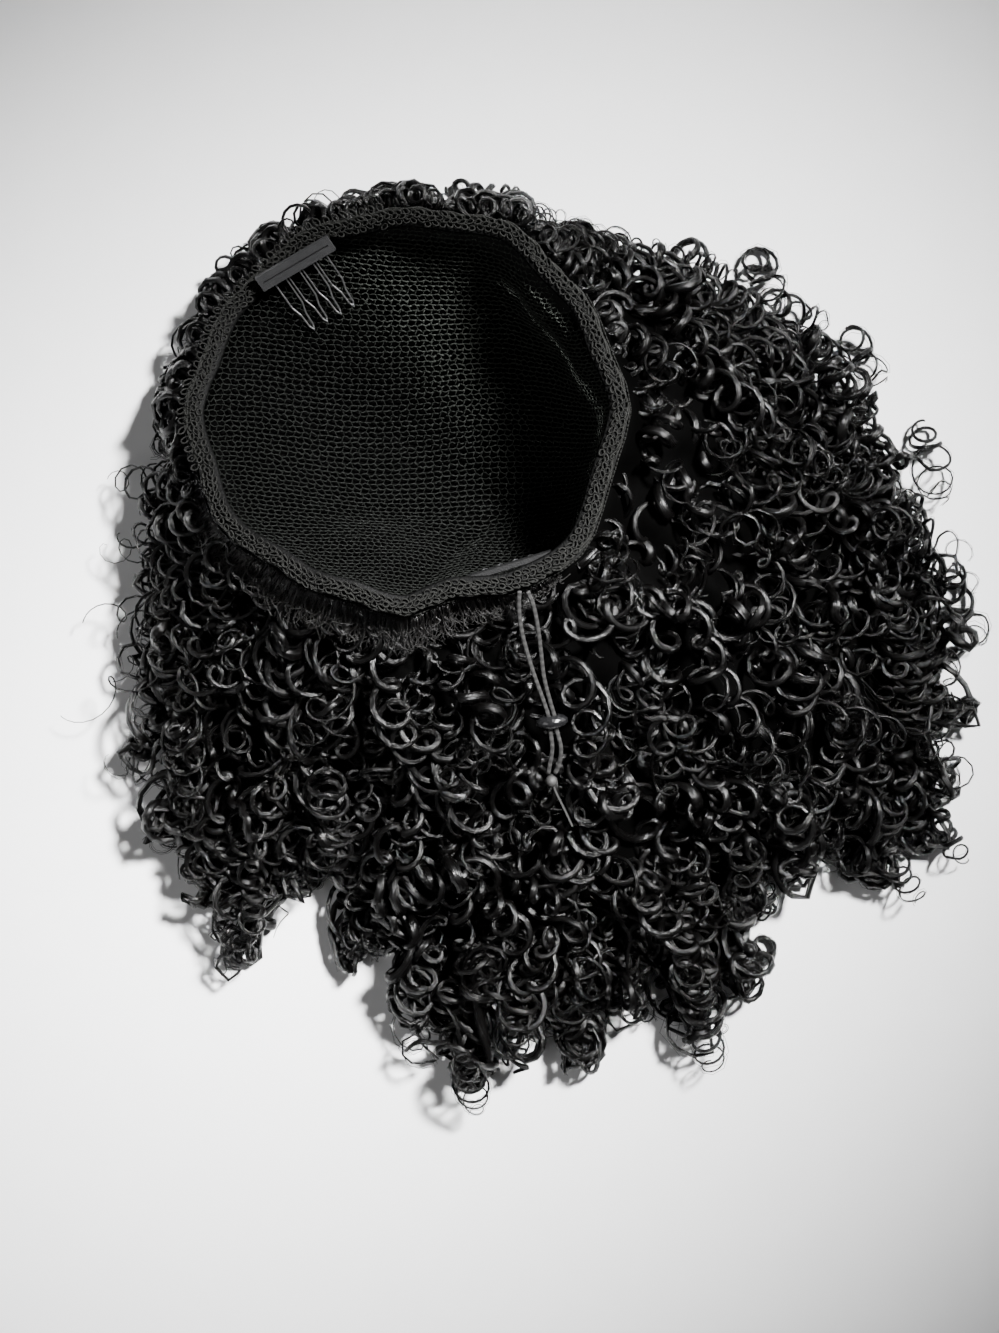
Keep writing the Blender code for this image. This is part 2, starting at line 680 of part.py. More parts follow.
def smooth_route(route, spacing):
    """Evenly spaced points on a smooth curve through a route's own points."""
    points = [Vector(point) for point in route]
    ends = [points[0] * 2 - points[1], *points, points[-1] * 2 - points[-2]]
    fine = []
    for at in range(1, len(ends) - 2):
        p0, p1, p2, p3 = ends[at - 1:at + 3]
        for step in range(ROUTE_FINENESS):
            t = step / ROUTE_FINENESS
            fine.append(0.5 * (2 * p1 + (p2 - p0) * t + (2 * p0 - 5 * p1 + 4 * p2 - p3) * t ** 2
                               + (3 * p1 - p0 - 3 * p2 + p3) * t ** 3))
    fine.append(points[-1])
    lengths = np.concatenate([[0.0], np.cumsum([(b - a).length for a, b in zip(fine, fine[1:])])])
    count = max(4, round(lengths[-1] / spacing))
    wanted = np.linspace(0.0, lengths[-1], count + 1)
    columns = [np.interp(wanted, lengths, [point[axis] for point in fine]) for axis in range(3)]
    return [Vector(row) for row in zip(*columns)]


def build_drawstring():
    for name, route in (("draw_cord_left", CORD_LEFT), ("draw_cord_right", CORD_RIGHT)):
        tube_object(name, smooth_route(route, CORD_POINT_SPACING), CORD_DIAMETER, "elastic")


def build_bead():
    ball = bmesh.new()
    bmesh.ops.create_uvsphere(ball, u_segments=14, v_segments=9, radius=0.5)
    bmesh.ops.scale(ball, vec=(BEAD_WIDTH, BEAD_LENGTH, BEAD_THICKNESS), verts=ball.verts)
    mesh = mesh_from("cord_bead", ball)
    smooth_shade(mesh)
    bead = make_object("cord_bead", mesh, PARTS, "bead")
    run = Vector(CORD_LEFT[7]) - Vector(CORD_LEFT[6])
    pitch = math.atan2(run.z, -run.y)
    place = Matrix.Translation(BEAD_PLACE) @ Matrix.Rotation(math.radians(BEAD_TURN), 4, "Z")
    bead.matrix_world = place @ Matrix.Rotation(-pitch, 4, "X")
    apart = (Vector(CORD_RIGHT[6]) - Vector(CORD_LEFT[6])).length
    hole = bmesh.new()
    bmesh.ops.create_cone(hole, cap_ends=True, segments=16, radius1=0.5, radius2=0.5, depth=1.0)
    clear = CORD_DIAMETER + 4 * GAP
    for vert in hole.verts:
        vert.co.x = vert.co.x * clear + math.copysign(apart / 2, vert.co.x)
        vert.co.y = vert.co.y * clear
        vert.co.z = vert.co.z * BEAD_LENGTH * 2
    bmesh.ops.rotate(hole, matrix=Matrix.Rotation(math.radians(90.0), 3, "X"), verts=hole.verts)
    cutter = make_cutter("bead_hole", mesh_from("bead_hole", hole))
    cutter.matrix_world = bead.matrix_world
    combine(bead, "DIFFERENCE", cutter)
    return bead


def build_knot():
    ball = bmesh.new()
    bmesh.ops.create_uvsphere(ball, u_segments=12, v_segments=8, radius=KNOT_WIDTH / 2)
    bmesh.ops.translate(ball, vec=KNOT_PLACE, verts=ball.verts)
    mesh = mesh_from("cord_knot", ball)
    smooth_shade(mesh)
    knot = make_object("cord_knot", mesh, PARTS, "elastic")
    tail = tube_object("knot_tail_guide", smooth_route(KNOT_TAIL, 3 * TAIL_DIAMETER), TAIL_DIAMETER,
                       "elastic", 1)
    bpy.context.view_layer.update()
    solid = bpy.data.meshes.new_from_object(tail.evaluated_get(bpy.context.evaluated_depsgraph_get()))
    weld = bmesh.new()
    weld.from_mesh(solid)
    bmesh.ops.remove_doubles(weld, verts=weld.verts, dist=MM * 0.01)
    weld.to_mesh(solid)
    weld.free()
    bpy.data.objects.remove(tail, do_unlink=True)
    combine(knot, "UNION", make_cutter("knot_tail", solid))
    return knot


clear_scene()
PARTS = make_collection("ponytail_hairpiece")
CUTTERS = make_collection("cutters")
LOCKS = bpy.data.collections.new("locks")
CUTTERS.children.link(LOCKS)
MATERIALS = {name: make_material(name) for name in FINISHES}
build_net_cap()
build_rim_casing()
build_weft_track()
build_hair()
for comb_name, comb_place in COMBS.items():
    build_comb(comb_name, comb_place)
build_drawstring()
build_bead()
build_knot()
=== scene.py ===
import math

import bmesh
import bpy
import numpy as np
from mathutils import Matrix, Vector
from mathutils.bvhtree import BVHTree


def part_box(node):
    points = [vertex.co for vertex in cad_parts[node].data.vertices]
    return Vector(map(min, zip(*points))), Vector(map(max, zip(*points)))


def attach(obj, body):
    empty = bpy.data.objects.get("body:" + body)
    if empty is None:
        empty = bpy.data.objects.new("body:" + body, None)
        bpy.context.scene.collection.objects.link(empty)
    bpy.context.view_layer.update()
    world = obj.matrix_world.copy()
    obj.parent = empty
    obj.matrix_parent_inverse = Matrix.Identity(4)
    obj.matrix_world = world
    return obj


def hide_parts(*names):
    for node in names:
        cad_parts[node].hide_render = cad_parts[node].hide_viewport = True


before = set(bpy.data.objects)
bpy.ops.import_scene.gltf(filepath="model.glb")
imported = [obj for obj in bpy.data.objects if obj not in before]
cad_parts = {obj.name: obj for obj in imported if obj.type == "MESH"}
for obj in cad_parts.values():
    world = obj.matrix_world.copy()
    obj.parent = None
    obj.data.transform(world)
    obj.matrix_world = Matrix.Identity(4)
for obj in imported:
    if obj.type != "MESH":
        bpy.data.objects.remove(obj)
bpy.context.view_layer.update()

# Camera: the hairpiece lies on a pale surface and is seen from straight above, crown end up, from
# about a metre, with the cap's opening left of the middle of the picture.
MM = 0.001
CAMERA_PLACE = (34.0 * MM, -94.1 * MM, 1150.0 * MM)
SENSOR = 36.0
RIM_HEIGHT = 80.0 * MM
PICTURE_AT_RIM = 479.9 * MM

camera_data = bpy.data.cameras.new("camera")
camera_data.sensor_width = SENSOR
camera_data.lens = SENSOR * (CAMERA_PLACE[2] - RIM_HEIGHT) / PICTURE_AT_RIM
camera = bpy.data.objects.new("camera", camera_data)
camera.location = CAMERA_PLACE
bpy.context.scene.collection.objects.link(camera)
bpy.context.scene.camera = camera

# Drawstring: a round braided elastic. Its two free runs leave the hem at the lower end of the opening,
# pass through one bead and end together in a knot with a short frayed tail.
CORD_DIAMETER = 1.6 * MM
CORD_LEFT = [
    (41.2, -66.9, 78.2), (41.0, -72.5, 76.0), (41.8, -80.0, 72.8), (44.0, -89.0, 69.0), (46.9, -98.0, 65.2),
    (50.0, -106.5, 61.5), (52.0, -112.6, 59.0), (52.6, -117.5, 57.2), (53.4, -124.0, 55.0),
    (52.6, -130.0, 52.9), (52.0, -133.7, 51.8),
]
CORD_RIGHT = [
    (44.2, -67.0, 78.2), (46.2, -72.0, 76.0), (47.8, -79.5, 72.8), (49.0, -88.5, 69.0), (50.2, -98.0, 65.2),
    (52.4, -106.5, 61.5), (54.2, -112.6, 59.0), (55.0, -117.5, 57.2), (56.6, -124.0, 55.0),
    (56.0, -130.0, 52.9), (54.4, -133.7, 51.8),
]
BRAID_STRANDS = 8
BRAID_TURN = 5.2 * MM
UV_SHIFT = 0.37


class Socket:
    """A shader socket that turns Python arithmetic into Math nodes."""

    def __init__(self, sheet, link):
        self.sheet = sheet
        self.link = link

    def math(self, operation, *values):
        return self.sheet.node("ShaderNodeMath", {"operation": operation}, dict(enumerate(values)))

    def __add__(self, other):
        return self.math("ADD", self, other)

    def __radd__(self, other):
        return self.math("ADD", other, self)

    def __sub__(self, other):
        return self.math("SUBTRACT", self, other)

    def __rsub__(self, other):
        return self.math("SUBTRACT", other, self)

    def __mul__(self, other):
        return self.math("MULTIPLY", self, other)

    def __rmul__(self, other):
        return self.math("MULTIPLY", other, self)


class Finish:
    """One material, with a Principled shader whose sockets take numbers, colours or links."""

    def __init__(self, name, **settings):
        self.material = bpy.data.materials.new(name)
        self.material.use_nodes = True
        self.tree = self.material.node_tree
        self.shader = self.tree.nodes["Principled BSDF"]
        for socket, value in settings.items():
            self.set(socket.replace("_", " ").title().replace("Ior", "IOR"), value)

    def set(self, name, value):
        socket = self.shader.inputs[name]
        if isinstance(value, Socket):
            self.tree.links.new(value.link, socket)
        else:
            socket.default_value = value

    def node(self, kind, settings=None, values=None, output=0):
        """Any node: its settings first, then the values or links of its sockets."""
        node = self.tree.nodes.new(kind)
        for key, value in (settings or {}).items():
            if key == "stops":
                ramp = node.color_ramp
                while len(ramp.elements) < len(value):
                    ramp.elements.new(0.5)
                for element, (place, tone) in zip(ramp.elements, value):
                    element.position = place
                    element.color = tone if isinstance(tone, tuple) else (tone, tone, tone, 1.0)
            else:
                setattr(node, key, value)
        for key, value in (values or {}).items():
            socket = node.inputs[key]
            if isinstance(value, Socket):
                self.tree.links.new(value.link, socket)
            else:
                socket.default_value = value
        return Socket(self, node.outputs[output])

    def along_surface(self, across, along):
        """The piece's own UV map, stretched so that a pattern runs with the fibres."""
        uv = self.node("ShaderNodeTexCoord", output="UV")
        return self.node("ShaderNodeMapping", {}, {"Vector": uv, "Scale": (across, along, 1.0)})

    def in_space(self, scale):
        place = self.node("ShaderNodeTexCoord", output="Object")
        return self.node("ShaderNodeMapping", {}, {"Vector": place, "Scale": (scale, scale, scale)})

    def noise(self, place, scale, detail=2.0, roughness=0.5):
        return self.node("ShaderNodeTexNoise", {"noise_dimensions": "3D"},
                         {"Vector": place, "Scale": scale, "Detail": detail, "Roughness": roughness})

    def mix(self, share, first, second):
        return self.node("ShaderNodeMix", {"data_type": "RGBA"}, {0: share, 6: first, 7: second}, output=2)

    def bump(self, height, distance, strength=1.0):
        normal = self.node("ShaderNodeBump", {}, {"Strength": strength, "Distance": distance, "Height": height})
        self.set("Normal", normal)


def elastic_finish():
    finish = Finish("braided_elastic", roughness=0.62)
    uv = finish.along_surface(1.0, 1.0)
    around = finish.node("ShaderNodeSeparateXYZ", {}, {0: uv}, output=0)
    along = finish.node("ShaderNodeSeparateXYZ", {}, {0: uv}, output=1)
    one_way = finish.node("ShaderNodeMath", {"operation": "SINE"},
                          {0: (around * BRAID_STRANDS + along) * math.tau})
    other_way = finish.node("ShaderNodeMath", {"operation": "SINE"},
                            {0: (around * BRAID_STRANDS - along) * math.tau})
    braid = one_way * other_way * 0.5 + 0.5
    fuzz = finish.noise(finish.in_space(1.0), 1800.0)
    tone = finish.mix(braid * 0.7 + fuzz * 0.3, (0.003, 0.003, 0.003, 1.0), (0.030, 0.029, 0.028, 1.0))
    finish.set("Base Color", tone)
    finish.bump(braid * 0.8 + fuzz * 0.2, 0.0004)
    return finish.material


def between(p0, p1, p2, p3, t):
    """A place from p1, at t of 0, to p2, at t of 1, on the smooth curve through four points."""
    return 0.5 * (2 * p1 + (p2 - p0) * t + (2 * p0 - 5 * p1 + 4 * p2 - p3) * t ** 2
                  + (3 * p1 - p0 - 3 * p2 + p3) * t ** 3)


def smooth_path(route, spacing):
    """Evenly spaced points on a smooth curve through a route's own points."""
    points = [Vector(point) for point in route]
    ends = [points[0] * 2 - points[1], *points, points[-1] * 2 - points[-2]]
    fine = []
    for at in range(1, len(ends) - 2):
        fine += [between(*ends[at - 1:at + 3], step / 12) for step in range(12)]
    fine.append(points[-1])
    lengths = np.concatenate([[0.0], np.cumsum([(b - a).length for a, b in zip(fine, fine[1:])])])
    wanted = np.linspace(0.0, lengths[-1], max(4, round(lengths[-1] / spacing)) + 1)
    return np.stack([np.interp(wanted, lengths, [point[axis] for point in fine]) for axis in range(3)], axis=1)


def unit(rows):
    return rows / np.maximum(np.linalg.norm(rows, axis=-1, keepdims=True), 1e-12)


def strand_mesh(name, routes, widths, thicknesses, corners, sides=None, lay_length=0.01, closed=False):
    """One joined mesh of strands: routes is strands by points by 3, with a width at each point.

    sides holds the direction across each strand's flat, and lay_length is the length of one UV turn.
    Each strand's UV starts UV_SHIFT further on, so that no two strands look alike.
    """
    count, steps, _ = routes.shape
    ahead = np.roll(routes, -1, axis=1) - np.roll(routes, 1, axis=1)
    if not closed:
        ahead[:, 0] = routes[:, 1] - routes[:, 0]
        ahead[:, -1] = routes[:, -1] - routes[:, -2]
    ahead = unit(ahead)
    if sides is None:
        sides = np.cross(ahead, np.broadcast_to((0.02, 0.03, 1.0), routes.shape))
    sides = unit(sides - ahead * np.sum(sides * ahead, axis=-1, keepdims=True))
    normals = np.cross(ahead, sides)
    turns = np.linspace(0.0, math.tau, corners, endpoint=False)
    across = np.cos(turns)[None, None, :, None] * sides[:, :, None, :] * widths[:, :, None, None] / 2
    off = np.sin(turns)[None, None, :, None] * normals[:, :, None, :] * thicknesses[:, :, None, None] / 2
    points = routes[:, :, None, :] + across + off
    index = np.arange(count * steps * corners).reshape(count, steps, corners)
    near, far = (index, np.roll(index, -1, axis=1)) if closed else (index[:, :-1], index[:, 1:])
    faces = np.stack([near, np.roll(near, -1, axis=2), np.roll(far, -1, axis=2), far], axis=-1).reshape(-1, 4)
    run = np.concatenate([np.zeros((count, 1)), np.cumsum(
        np.linalg.norm(np.diff(routes, axis=1), axis=-1), axis=1)], axis=1) / lay_length
    run = run + np.arange(count)[:, None] * UV_SHIFT
    if closed:
        run = np.concatenate([run, run[:, -1:] + run[:, 1:2] - run[:, :1]], axis=1)
    spans = steps if closed else steps - 1
    u_low = np.broadcast_to(np.arange(corners) / corners, (count, spans, corners))
    u_high = u_low + 1 / corners
    v_near = np.broadcast_to(run[:, :-1, None], (count, spans, corners))
    v_far = np.broadcast_to(run[:, 1:, None], (count, spans, corners))
    uv = np.stack([np.stack([u_low, v_near], -1), np.stack([u_high, v_near], -1),
                   np.stack([u_high, v_far], -1), np.stack([u_low, v_far], -1)], axis=-2).reshape(-1, 2)
    mesh = bpy.data.meshes.new(name)
    polygons = len(faces)
    mesh.vertices.add(points.size // 3)
    mesh.vertices.foreach_set("co", points.reshape(-1))
    loops = faces.reshape(-1)
    starts = np.arange(polygons) * 4
    if not closed:
        caps = np.concatenate([index[:, 0, ::-1], index[:, -1, :]])
        loops = np.concatenate([loops, caps.reshape(-1)])
        starts = np.concatenate([starts, polygons * 4 + np.arange(len(caps)) * corners])
        cap_uv = np.zeros((len(caps) * corners, 2))
        cap_uv[:, 1] = np.repeat(np.concatenate([run[:, 0], run[:, -1]]), corners)
        uv = np.concatenate([uv, cap_uv])
        polygons += len(caps)
    mesh.loops.add(len(loops))
    mesh.loops.foreach_set("vertex_index", loops.astype(np.int32))
    mesh.polygons.add(polygons)
    mesh.polygons.foreach_set("loop_start", starts.astype(np.int32))
    mesh.update(calc_edges=True)
    mesh.uv_layers.new(name="UVMap").data.foreach_set("uv", uv.reshape(-1).astype(np.float32))
    mesh.shade_smooth()
    return mesh


def add_piece(mesh, material):
    piece = bpy.data.objects.new(mesh.name, mesh)
    bpy.context.scene.collection.objects.link(piece)
    piece.data.materials.append(material)
    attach(piece, "root")
    return piece


elastic = elastic_finish()
for side, route in (("left", CORD_LEFT), ("right", CORD_RIGHT)):
    path = smooth_path([Vector(point) * MM for point in route], 0.9 * MM)
    sizes = np.full((1, len(path)), CORD_DIAMETER)
    cord = add_piece(strand_mesh(f"drawstring_{side}", path[None], sizes, sizes, 10, lay_length=BRAID_TURN),
                     elastic)
    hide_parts(f"draw_cord_{side}")

# Hair: locks of natural black hair, wound into tight corkscrews and sewn by their roots to the wefts
# round the cap. It lies in a deep springy pile that gets thinner and more open towards its edge.
HAIR_NODE = "curly_hair"
GRID_PITCH = 2.5 * MM
CURL_RADIUS = 5.8 * MM
CURL_PITCH = 10.5 * MM
LOCK_WIDTH = 4.1 * MM
LOCK_FLATNESS = 0.60
LOOP_LEAN = 56.0
FLOOR_CLEARANCE = LOCK_WIDTH * 0.6
LOOSE_HAIRS = 2
LOOSE_FINE = 9
HAIR_WIDTH = 0.20 * MM
TAIL_BEARING = -90.0
SWEEP_RIGHT = 68.0
SWEEP_LEFT = 26.0
SWEEP_WITHIN = 80.0
SWEEP_LOSS = 0.45
CORE_INSET = 26.0 * MM
CORE_LOWERING = 9.0 * MM
CORE_VOXEL = 4.4 * MM
CORE_EASE = 14.0 * MM
CORD_CLEARANCE = 13.0 * MM
WALL_FROM = 60.0
WALL_TO = 262.0
LEAST_SPREAD = 15.0 * MM
BARE_HEIGHT = 9.0 * MM
AXIS_BEND = 34.0
CORD_SLOPE = 14.0 * MM
LAYERS = (
    {"name": "wall", "kind": "wall", "count": 46, "turns": 6, "fine": 11, "stray": 9.0, "inset": 5.0, "size": 0.9,
     "loose": 0},
    {"name": "deep", "kind": "pile", "count": 66, "turns": 8, "fine": 10, "stray": 40.0, "inset": 21.0, "size": 1.0,
     "loose": 0, "below": 14.0, "scatter": 3.0, "ragged": 8.0},
    {"name": "middle", "kind": "pile", "count": 112, "turns": 8, "fine": 12, "stray": 38.0, "inset": 17.0,
     "size": 1.0, "loose": 0, "below": 8.0, "scatter": 3.0, "ragged": 9.0},
    {"name": "upper", "kind": "pile", "count": 115, "turns": 8, "fine": 13, "stray": 42.0, "inset": 15.0,
     "size": 1.0, "loose": LOOSE_HAIRS, "below": 2.5, "scatter": 3.0, "ragged": 10.0},
    {"name": "edge", "kind": "edge", "count": 118, "turns": 6, "fine": 18, "stray": 16.0, "inset": 0.5,
     "size": 0.66, "loose": LOOSE_HAIRS, "below": 2.5, "scatter": 4.0, "ragged": 20.0},
    {"name": "short", "kind": "pile", "count": 115, "turns": 3, "fine": 13, "stray": 60.0, "inset": 12.0,
     "size": 0.9, "loose": LOOSE_HAIRS, "below": 1.0, "scatter": 2.0, "ragged": 9.0},
)
random = np.random.default_rng(20)


def hair_finish(name, dark, light, gloss, specular):
    finish = Finish(name, specular_ior_level=specular)
    fibres = finish.noise(finish.along_surface(26.0, 0.45), 1.0, detail=4.0)
    tint = finish.noise(finish.in_space(1.0), 30.0)
    tone = finish.mix(tint, (*dark, 1.0), (dark[0] * 2.6, dark[1] * 2.0, dark[2] * 1.5, 1.0))
    finish.set("Base Color", finish.mix(fibres, tone, (*light, 1.0)))
    dull = finish.noise(finish.in_space(1.0), 75.0, detail=1.0)
    finish.set("Roughness", fibres * 0.16 + dull * 0.34 + gloss)
    finish.bump(fibres, 0.0006, 0.8)
    return finish.material


def node_points(name):
    node = bpy.data.objects[name]
    points = np.empty(len(node.data.vertices) * 3)
    node.data.vertices.foreach_get("co", points)
    return points.reshape(-1, 3)


def node_surface(name):
    mesh = bpy.data.objects[name].data
    return BVHTree.FromPolygons([vert.co for vert in mesh.vertices], [face.vertices for face in mesh.polygons])


class HeightMap:
    """Height of the hair's solid seen from above, on a square grid."""

    def __init__(self, name):
        self.low, high = [np.array(corner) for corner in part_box(name)]
        surface = node_surface(name)
        self.shape = np.ceil((high - self.low)[:2] / GRID_PITCH).astype(int) + 1
        self.heights = np.full(tuple(self.shape), -1.0)
        down = Vector((0.0, 0.0, -1.0))
        for column in range(self.shape[0]):
            for row in range(self.shape[1]):
                spot = self.low[:2] + np.array((column, row)) * GRID_PITCH
                hit = surface.ray_cast(Vector((*spot, 0.3)), down)[0]
                if hit is not None:
                    self.heights[column, row] = hit.z

    def at(self, places):
        cell = np.round((places[..., :2] - self.low[:2]) / GRID_PITCH).astype(int)
        inside = np.all((cell >= 0) & (cell < self.shape), axis=-1)
        cell = np.clip(cell, 0, self.shape - 1)
        return np.where(inside, self.heights[cell[..., 0], cell[..., 1]], -1.0)


def polar(places):
    return np.degrees(np.arctan2(places[..., 1], places[..., 0])), np.hypot(places[..., 0], places[..., 1])


def by_bearing(bearings, table):
    return np.interp(bearings % 360.0, np.arange(361), np.append(table, table[0]))


def bearing_table(bearings, values, keep):
    """The value that keep picks at each degree of bearing, with the gaps between them filled in."""
    table = np.full(360, np.nan)
    keep.at(table, np.floor(bearings % 360.0).astype(int), values)
    known = np.flatnonzero(~np.isnan(table))
    return np.interp(np.arange(360), known, table[known], period=360)


hair_heights = HeightMap(HAIR_NODE)
rim_points = node_points("rim_casing")
rim_bearings, rim_reaches = polar(rim_points)
rim_table = bearing_table(rim_bearings, rim_reaches, np.fmax)
rim_low_table = bearing_table(rim_bearings, rim_points[:, 2], np.fmin)
ways = np.radians(np.arange(360))
probes = np.arange(0.40, 0.06, -GRID_PITCH)
probe_places = np.stack([np.cos(ways)[:, None] * probes, np.sin(ways)[:, None] * probes], axis=-1)
reach_table = probes[np.argmax(hair_heights.at(probe_places) > 0.0, axis=1)]
cord_line = np.concatenate([np.array(CORD_LEFT), np.array(CORD_RIGHT)]) * MM


def spread_of(places):
    """How far out a place is, from 0 at the rim to 1 at the edge of the hair."""
    bearings, reaches = polar(places)
    rim = by_bearing(bearings, rim_table)
    edge = np.maximum(by_bearing(bearings, reach_table), rim + LEAST_SPREAD)
    return (reaches - rim) / (edge - rim), rim, edge


def turned(ways, angles):
    return np.stack([ways[..., 0] * np.cos(angles) - ways[..., 1] * np.sin(angles),
                     ways[..., 0] * np.sin(angles) + ways[..., 1] * np.cos(angles)], axis=-1)


def flow(places):
    """Direction in which the hair runs: out from the cap, swept from the crown towards the tail."""
    bearings, _ = polar(places)
    spread = np.clip(spread_of(places)[0], 0.0, 1.0)
    from_tail = (bearings - TAIL_BEARING + 180.0) % 360.0 - 180.0
    most = np.where(from_tail > 0.0, SWEEP_RIGHT, SWEEP_LEFT)
    sweep = most * np.tanh(from_tail / SWEEP_WITHIN) * (1.0 - SWEEP_LOSS * spread)
    radial = np.stack([np.cos(np.radians(bearings)), np.sin(np.radians(bearings))], axis=-1)
    return turned(radial, -np.radians(sweep))


def press_under_cords(points, room):
    """Lower what lies across the drawstring, so that both cords and the bead stay on top."""
    apart = np.linalg.norm(points[..., None, :2] - cord_line[:, :2], axis=-1)
    nearest = np.argmin(apart, axis=-1)
    closeness = np.clip(1.0 - np.min(apart, axis=-1) / CORD_CLEARANCE, 0.0, 1.0)
    limit = cord_line[nearest, 2] - room + (1.0 - np.minimum(1.0, closeness * 2.0)) * CORD_SLOPE
    points[..., 2] = np.where(closeness > 0.0, np.minimum(points[..., 2], limit), points[..., 2])
    return points


def curl_axes(layer, steps=36):
    """Middle lines of one layer's curls, each following the flow through a place on the pile."""
    low, high = [np.array(corner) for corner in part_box(HAIR_NODE)]
    tries = random.uniform(low[:2], high[:2], (layer["count"] * 40, 2))
    spread = spread_of(tries)[0]
    tries = tries[(hair_heights.at(tries) > 0.0) & (spread > 0.03)]
    starts = tries[:1]
    apart = np.full(len(tries), np.inf)
    while len(starts) < layer["count"]:
        apart = np.minimum(apart, np.linalg.norm(tries - starts[-1], axis=1))
        pick = np.argmax(apart * random.uniform(0.7, 1.0, len(tries)))
        starts = np.concatenate([starts, tries[pick:pick + 1]])
    count = layer["count"]
    from_edge = layer["kind"] == "edge"
    length = CURL_PITCH * layer["turns"] * random.uniform(0.72, 1.25, count)
    stray = np.radians(random.normal(0.0, layer["stray"], count))
    bend = np.radians(random.normal(0.0, AXIS_BEND, count))
    inset = (layer["inset"] + layer["ragged"] * random.uniform(0.0, 1.0, count)) * MM
    if from_edge:
        turns = np.radians((np.arange(count) + random.uniform(0.0, 0.8, count)) * 360.0 / count)
        starts = np.stack([np.cos(turns), np.sin(turns)], axis=-1)
        starts *= (by_bearing(np.degrees(turns), reach_table) - inset)[:, None]
    halves = []
    for way in ((-1.0,) if from_edge else (-1.0, 1.0)):
        spot, line = starts.copy(), []
        for step in range(steps // 2):
            ahead = turned(flow(spot), stray + way * bend * step / steps * 2)
            spot = spot + ahead * way * (length / steps)[:, None]
            bearings, reaches = polar(spot)
            rim = by_bearing(bearings, rim_table) + CURL_RADIUS
            edge = reaches if from_edge else by_bearing(bearings, reach_table) - inset
            spot *= (np.clip(reaches, rim, np.maximum(edge, rim)) / np.maximum(reaches, 1e-6))[:, None]
            line.append(spot.copy())
        halves.append(line)
    ahead_half = halves[1] if len(halves) > 1 else []
    flat = np.stack(list(reversed(halves[0])) + [starts] + ahead_half, axis=1)
    for _ in range(3):
        flat[:, 1:-1] = (flat[:, :-2] + flat[:, 1:-1] * 2 + flat[:, 2:]) / 4
    heights = hair_heights.at(flat)
    heights = np.where(heights < 0.0, BARE_HEIGHT, heights)
    padded = np.pad(heights, ((0, 0), (3, 3)), mode="edge")
    heights = np.stack([padded[:, at:at + flat.shape[1]] for at in range(7)]).mean(0)
    sink = (layer["below"] + random.normal(0.0, 1.0, (count, 1)) * layer["scatter"]) * MM + CURL_RADIUS * 0.6
    waves = random.uniform(0.6, 2.2, (count, 1)) * np.linspace(0.0, math.tau, flat.shape[1])
    waves = np.sin(waves + random.uniform(0.0, math.tau, (count, 1)))
    heave = waves * random.uniform(1.0, 5.5, (count, 1)) * MM
    heights = np.maximum(heights - sink + heave, CURL_RADIUS * 0.8)
    axes = np.concatenate([flat, heights[..., None]], axis=-1)
    return press_under_cords(axes, CURL_RADIUS + 1.2 * MM)


def wall_axes(layer, steps=30):
    """Middle lines of the locks that hang down the cap's steep side, from the weft to the floor."""
    share = np.linspace(0.0, 1.0, steps)
    bearings = np.linspace(WALL_FROM, WALL_TO, layer["count"])[:, None]
    turns = np.radians(bearings + random.normal(0.0, layer["stray"], bearings.shape) * share)
    near = by_bearing(bearings, rim_table) + CURL_RADIUS
    far = np.maximum(by_bearing(bearings, reach_table) - layer["inset"] * MM, near + CURL_RADIUS)
    top = by_bearing(bearings, rim_low_table) - CURL_RADIUS * 1.4
    reach = near + (far - near) * share ** 1.3
    height = top + (CURL_RADIUS * 1.5 - top) * share
    return np.stack([reach * np.cos(turns), reach * np.sin(turns), height], axis=-1)


def wind(axes, radius, phase, hand, lean, wobble, turns, points):
    """Corkscrews round their middle lines, whose loops have flopped over, with the outward direction.

    wobble holds how often each lock swells and hurries along its length, and where it starts to.
    """
    steps = axes.shape[1]
    share = np.linspace(0.0, 1.0, points)
    swell_rate, hurry_rate, wobble_start = wobble
    place = share * (steps - 1)
    at = np.minimum(place.astype(int), steps - 2)
    axis = axes[:, at] + (axes[:, at + 1] - axes[:, at]) * (place - at)[None, :, None]
    ahead = unit(np.gradient(axis, axis=1))
    side = unit(np.cross(ahead, np.broadcast_to((0.0, 0.0, 1.0), axis.shape)))
    up = np.cross(side, ahead)
    swell = 1.0 + 0.20 * np.sin(share * math.tau * swell_rate + wobble_start)
    hurry = 1.1 * np.sin(share * math.tau * hurry_rate + wobble_start)
    angle = hand * (share * turns * math.tau + hurry) + phase
    root, tip = np.clip(share * 4.0 + 0.35, 0.0, 1.0), np.clip((1.0 - share) * 2.4 + 0.45, 0.0, 1.0)
    size = radius * swell * root * tip
    flopped = up * np.cos(lean)[..., None] + ahead * np.sin(lean)[..., None]
    outward = side * np.cos(angle)[..., None] + flopped * np.sin(angle)[..., None]
    route = axis + outward * size[..., None]
    route[..., 2] = np.maximum(route[..., 2], FLOOR_CLEARANCE)
    return press_under_cords(route, 1.6 * MM), outward, share


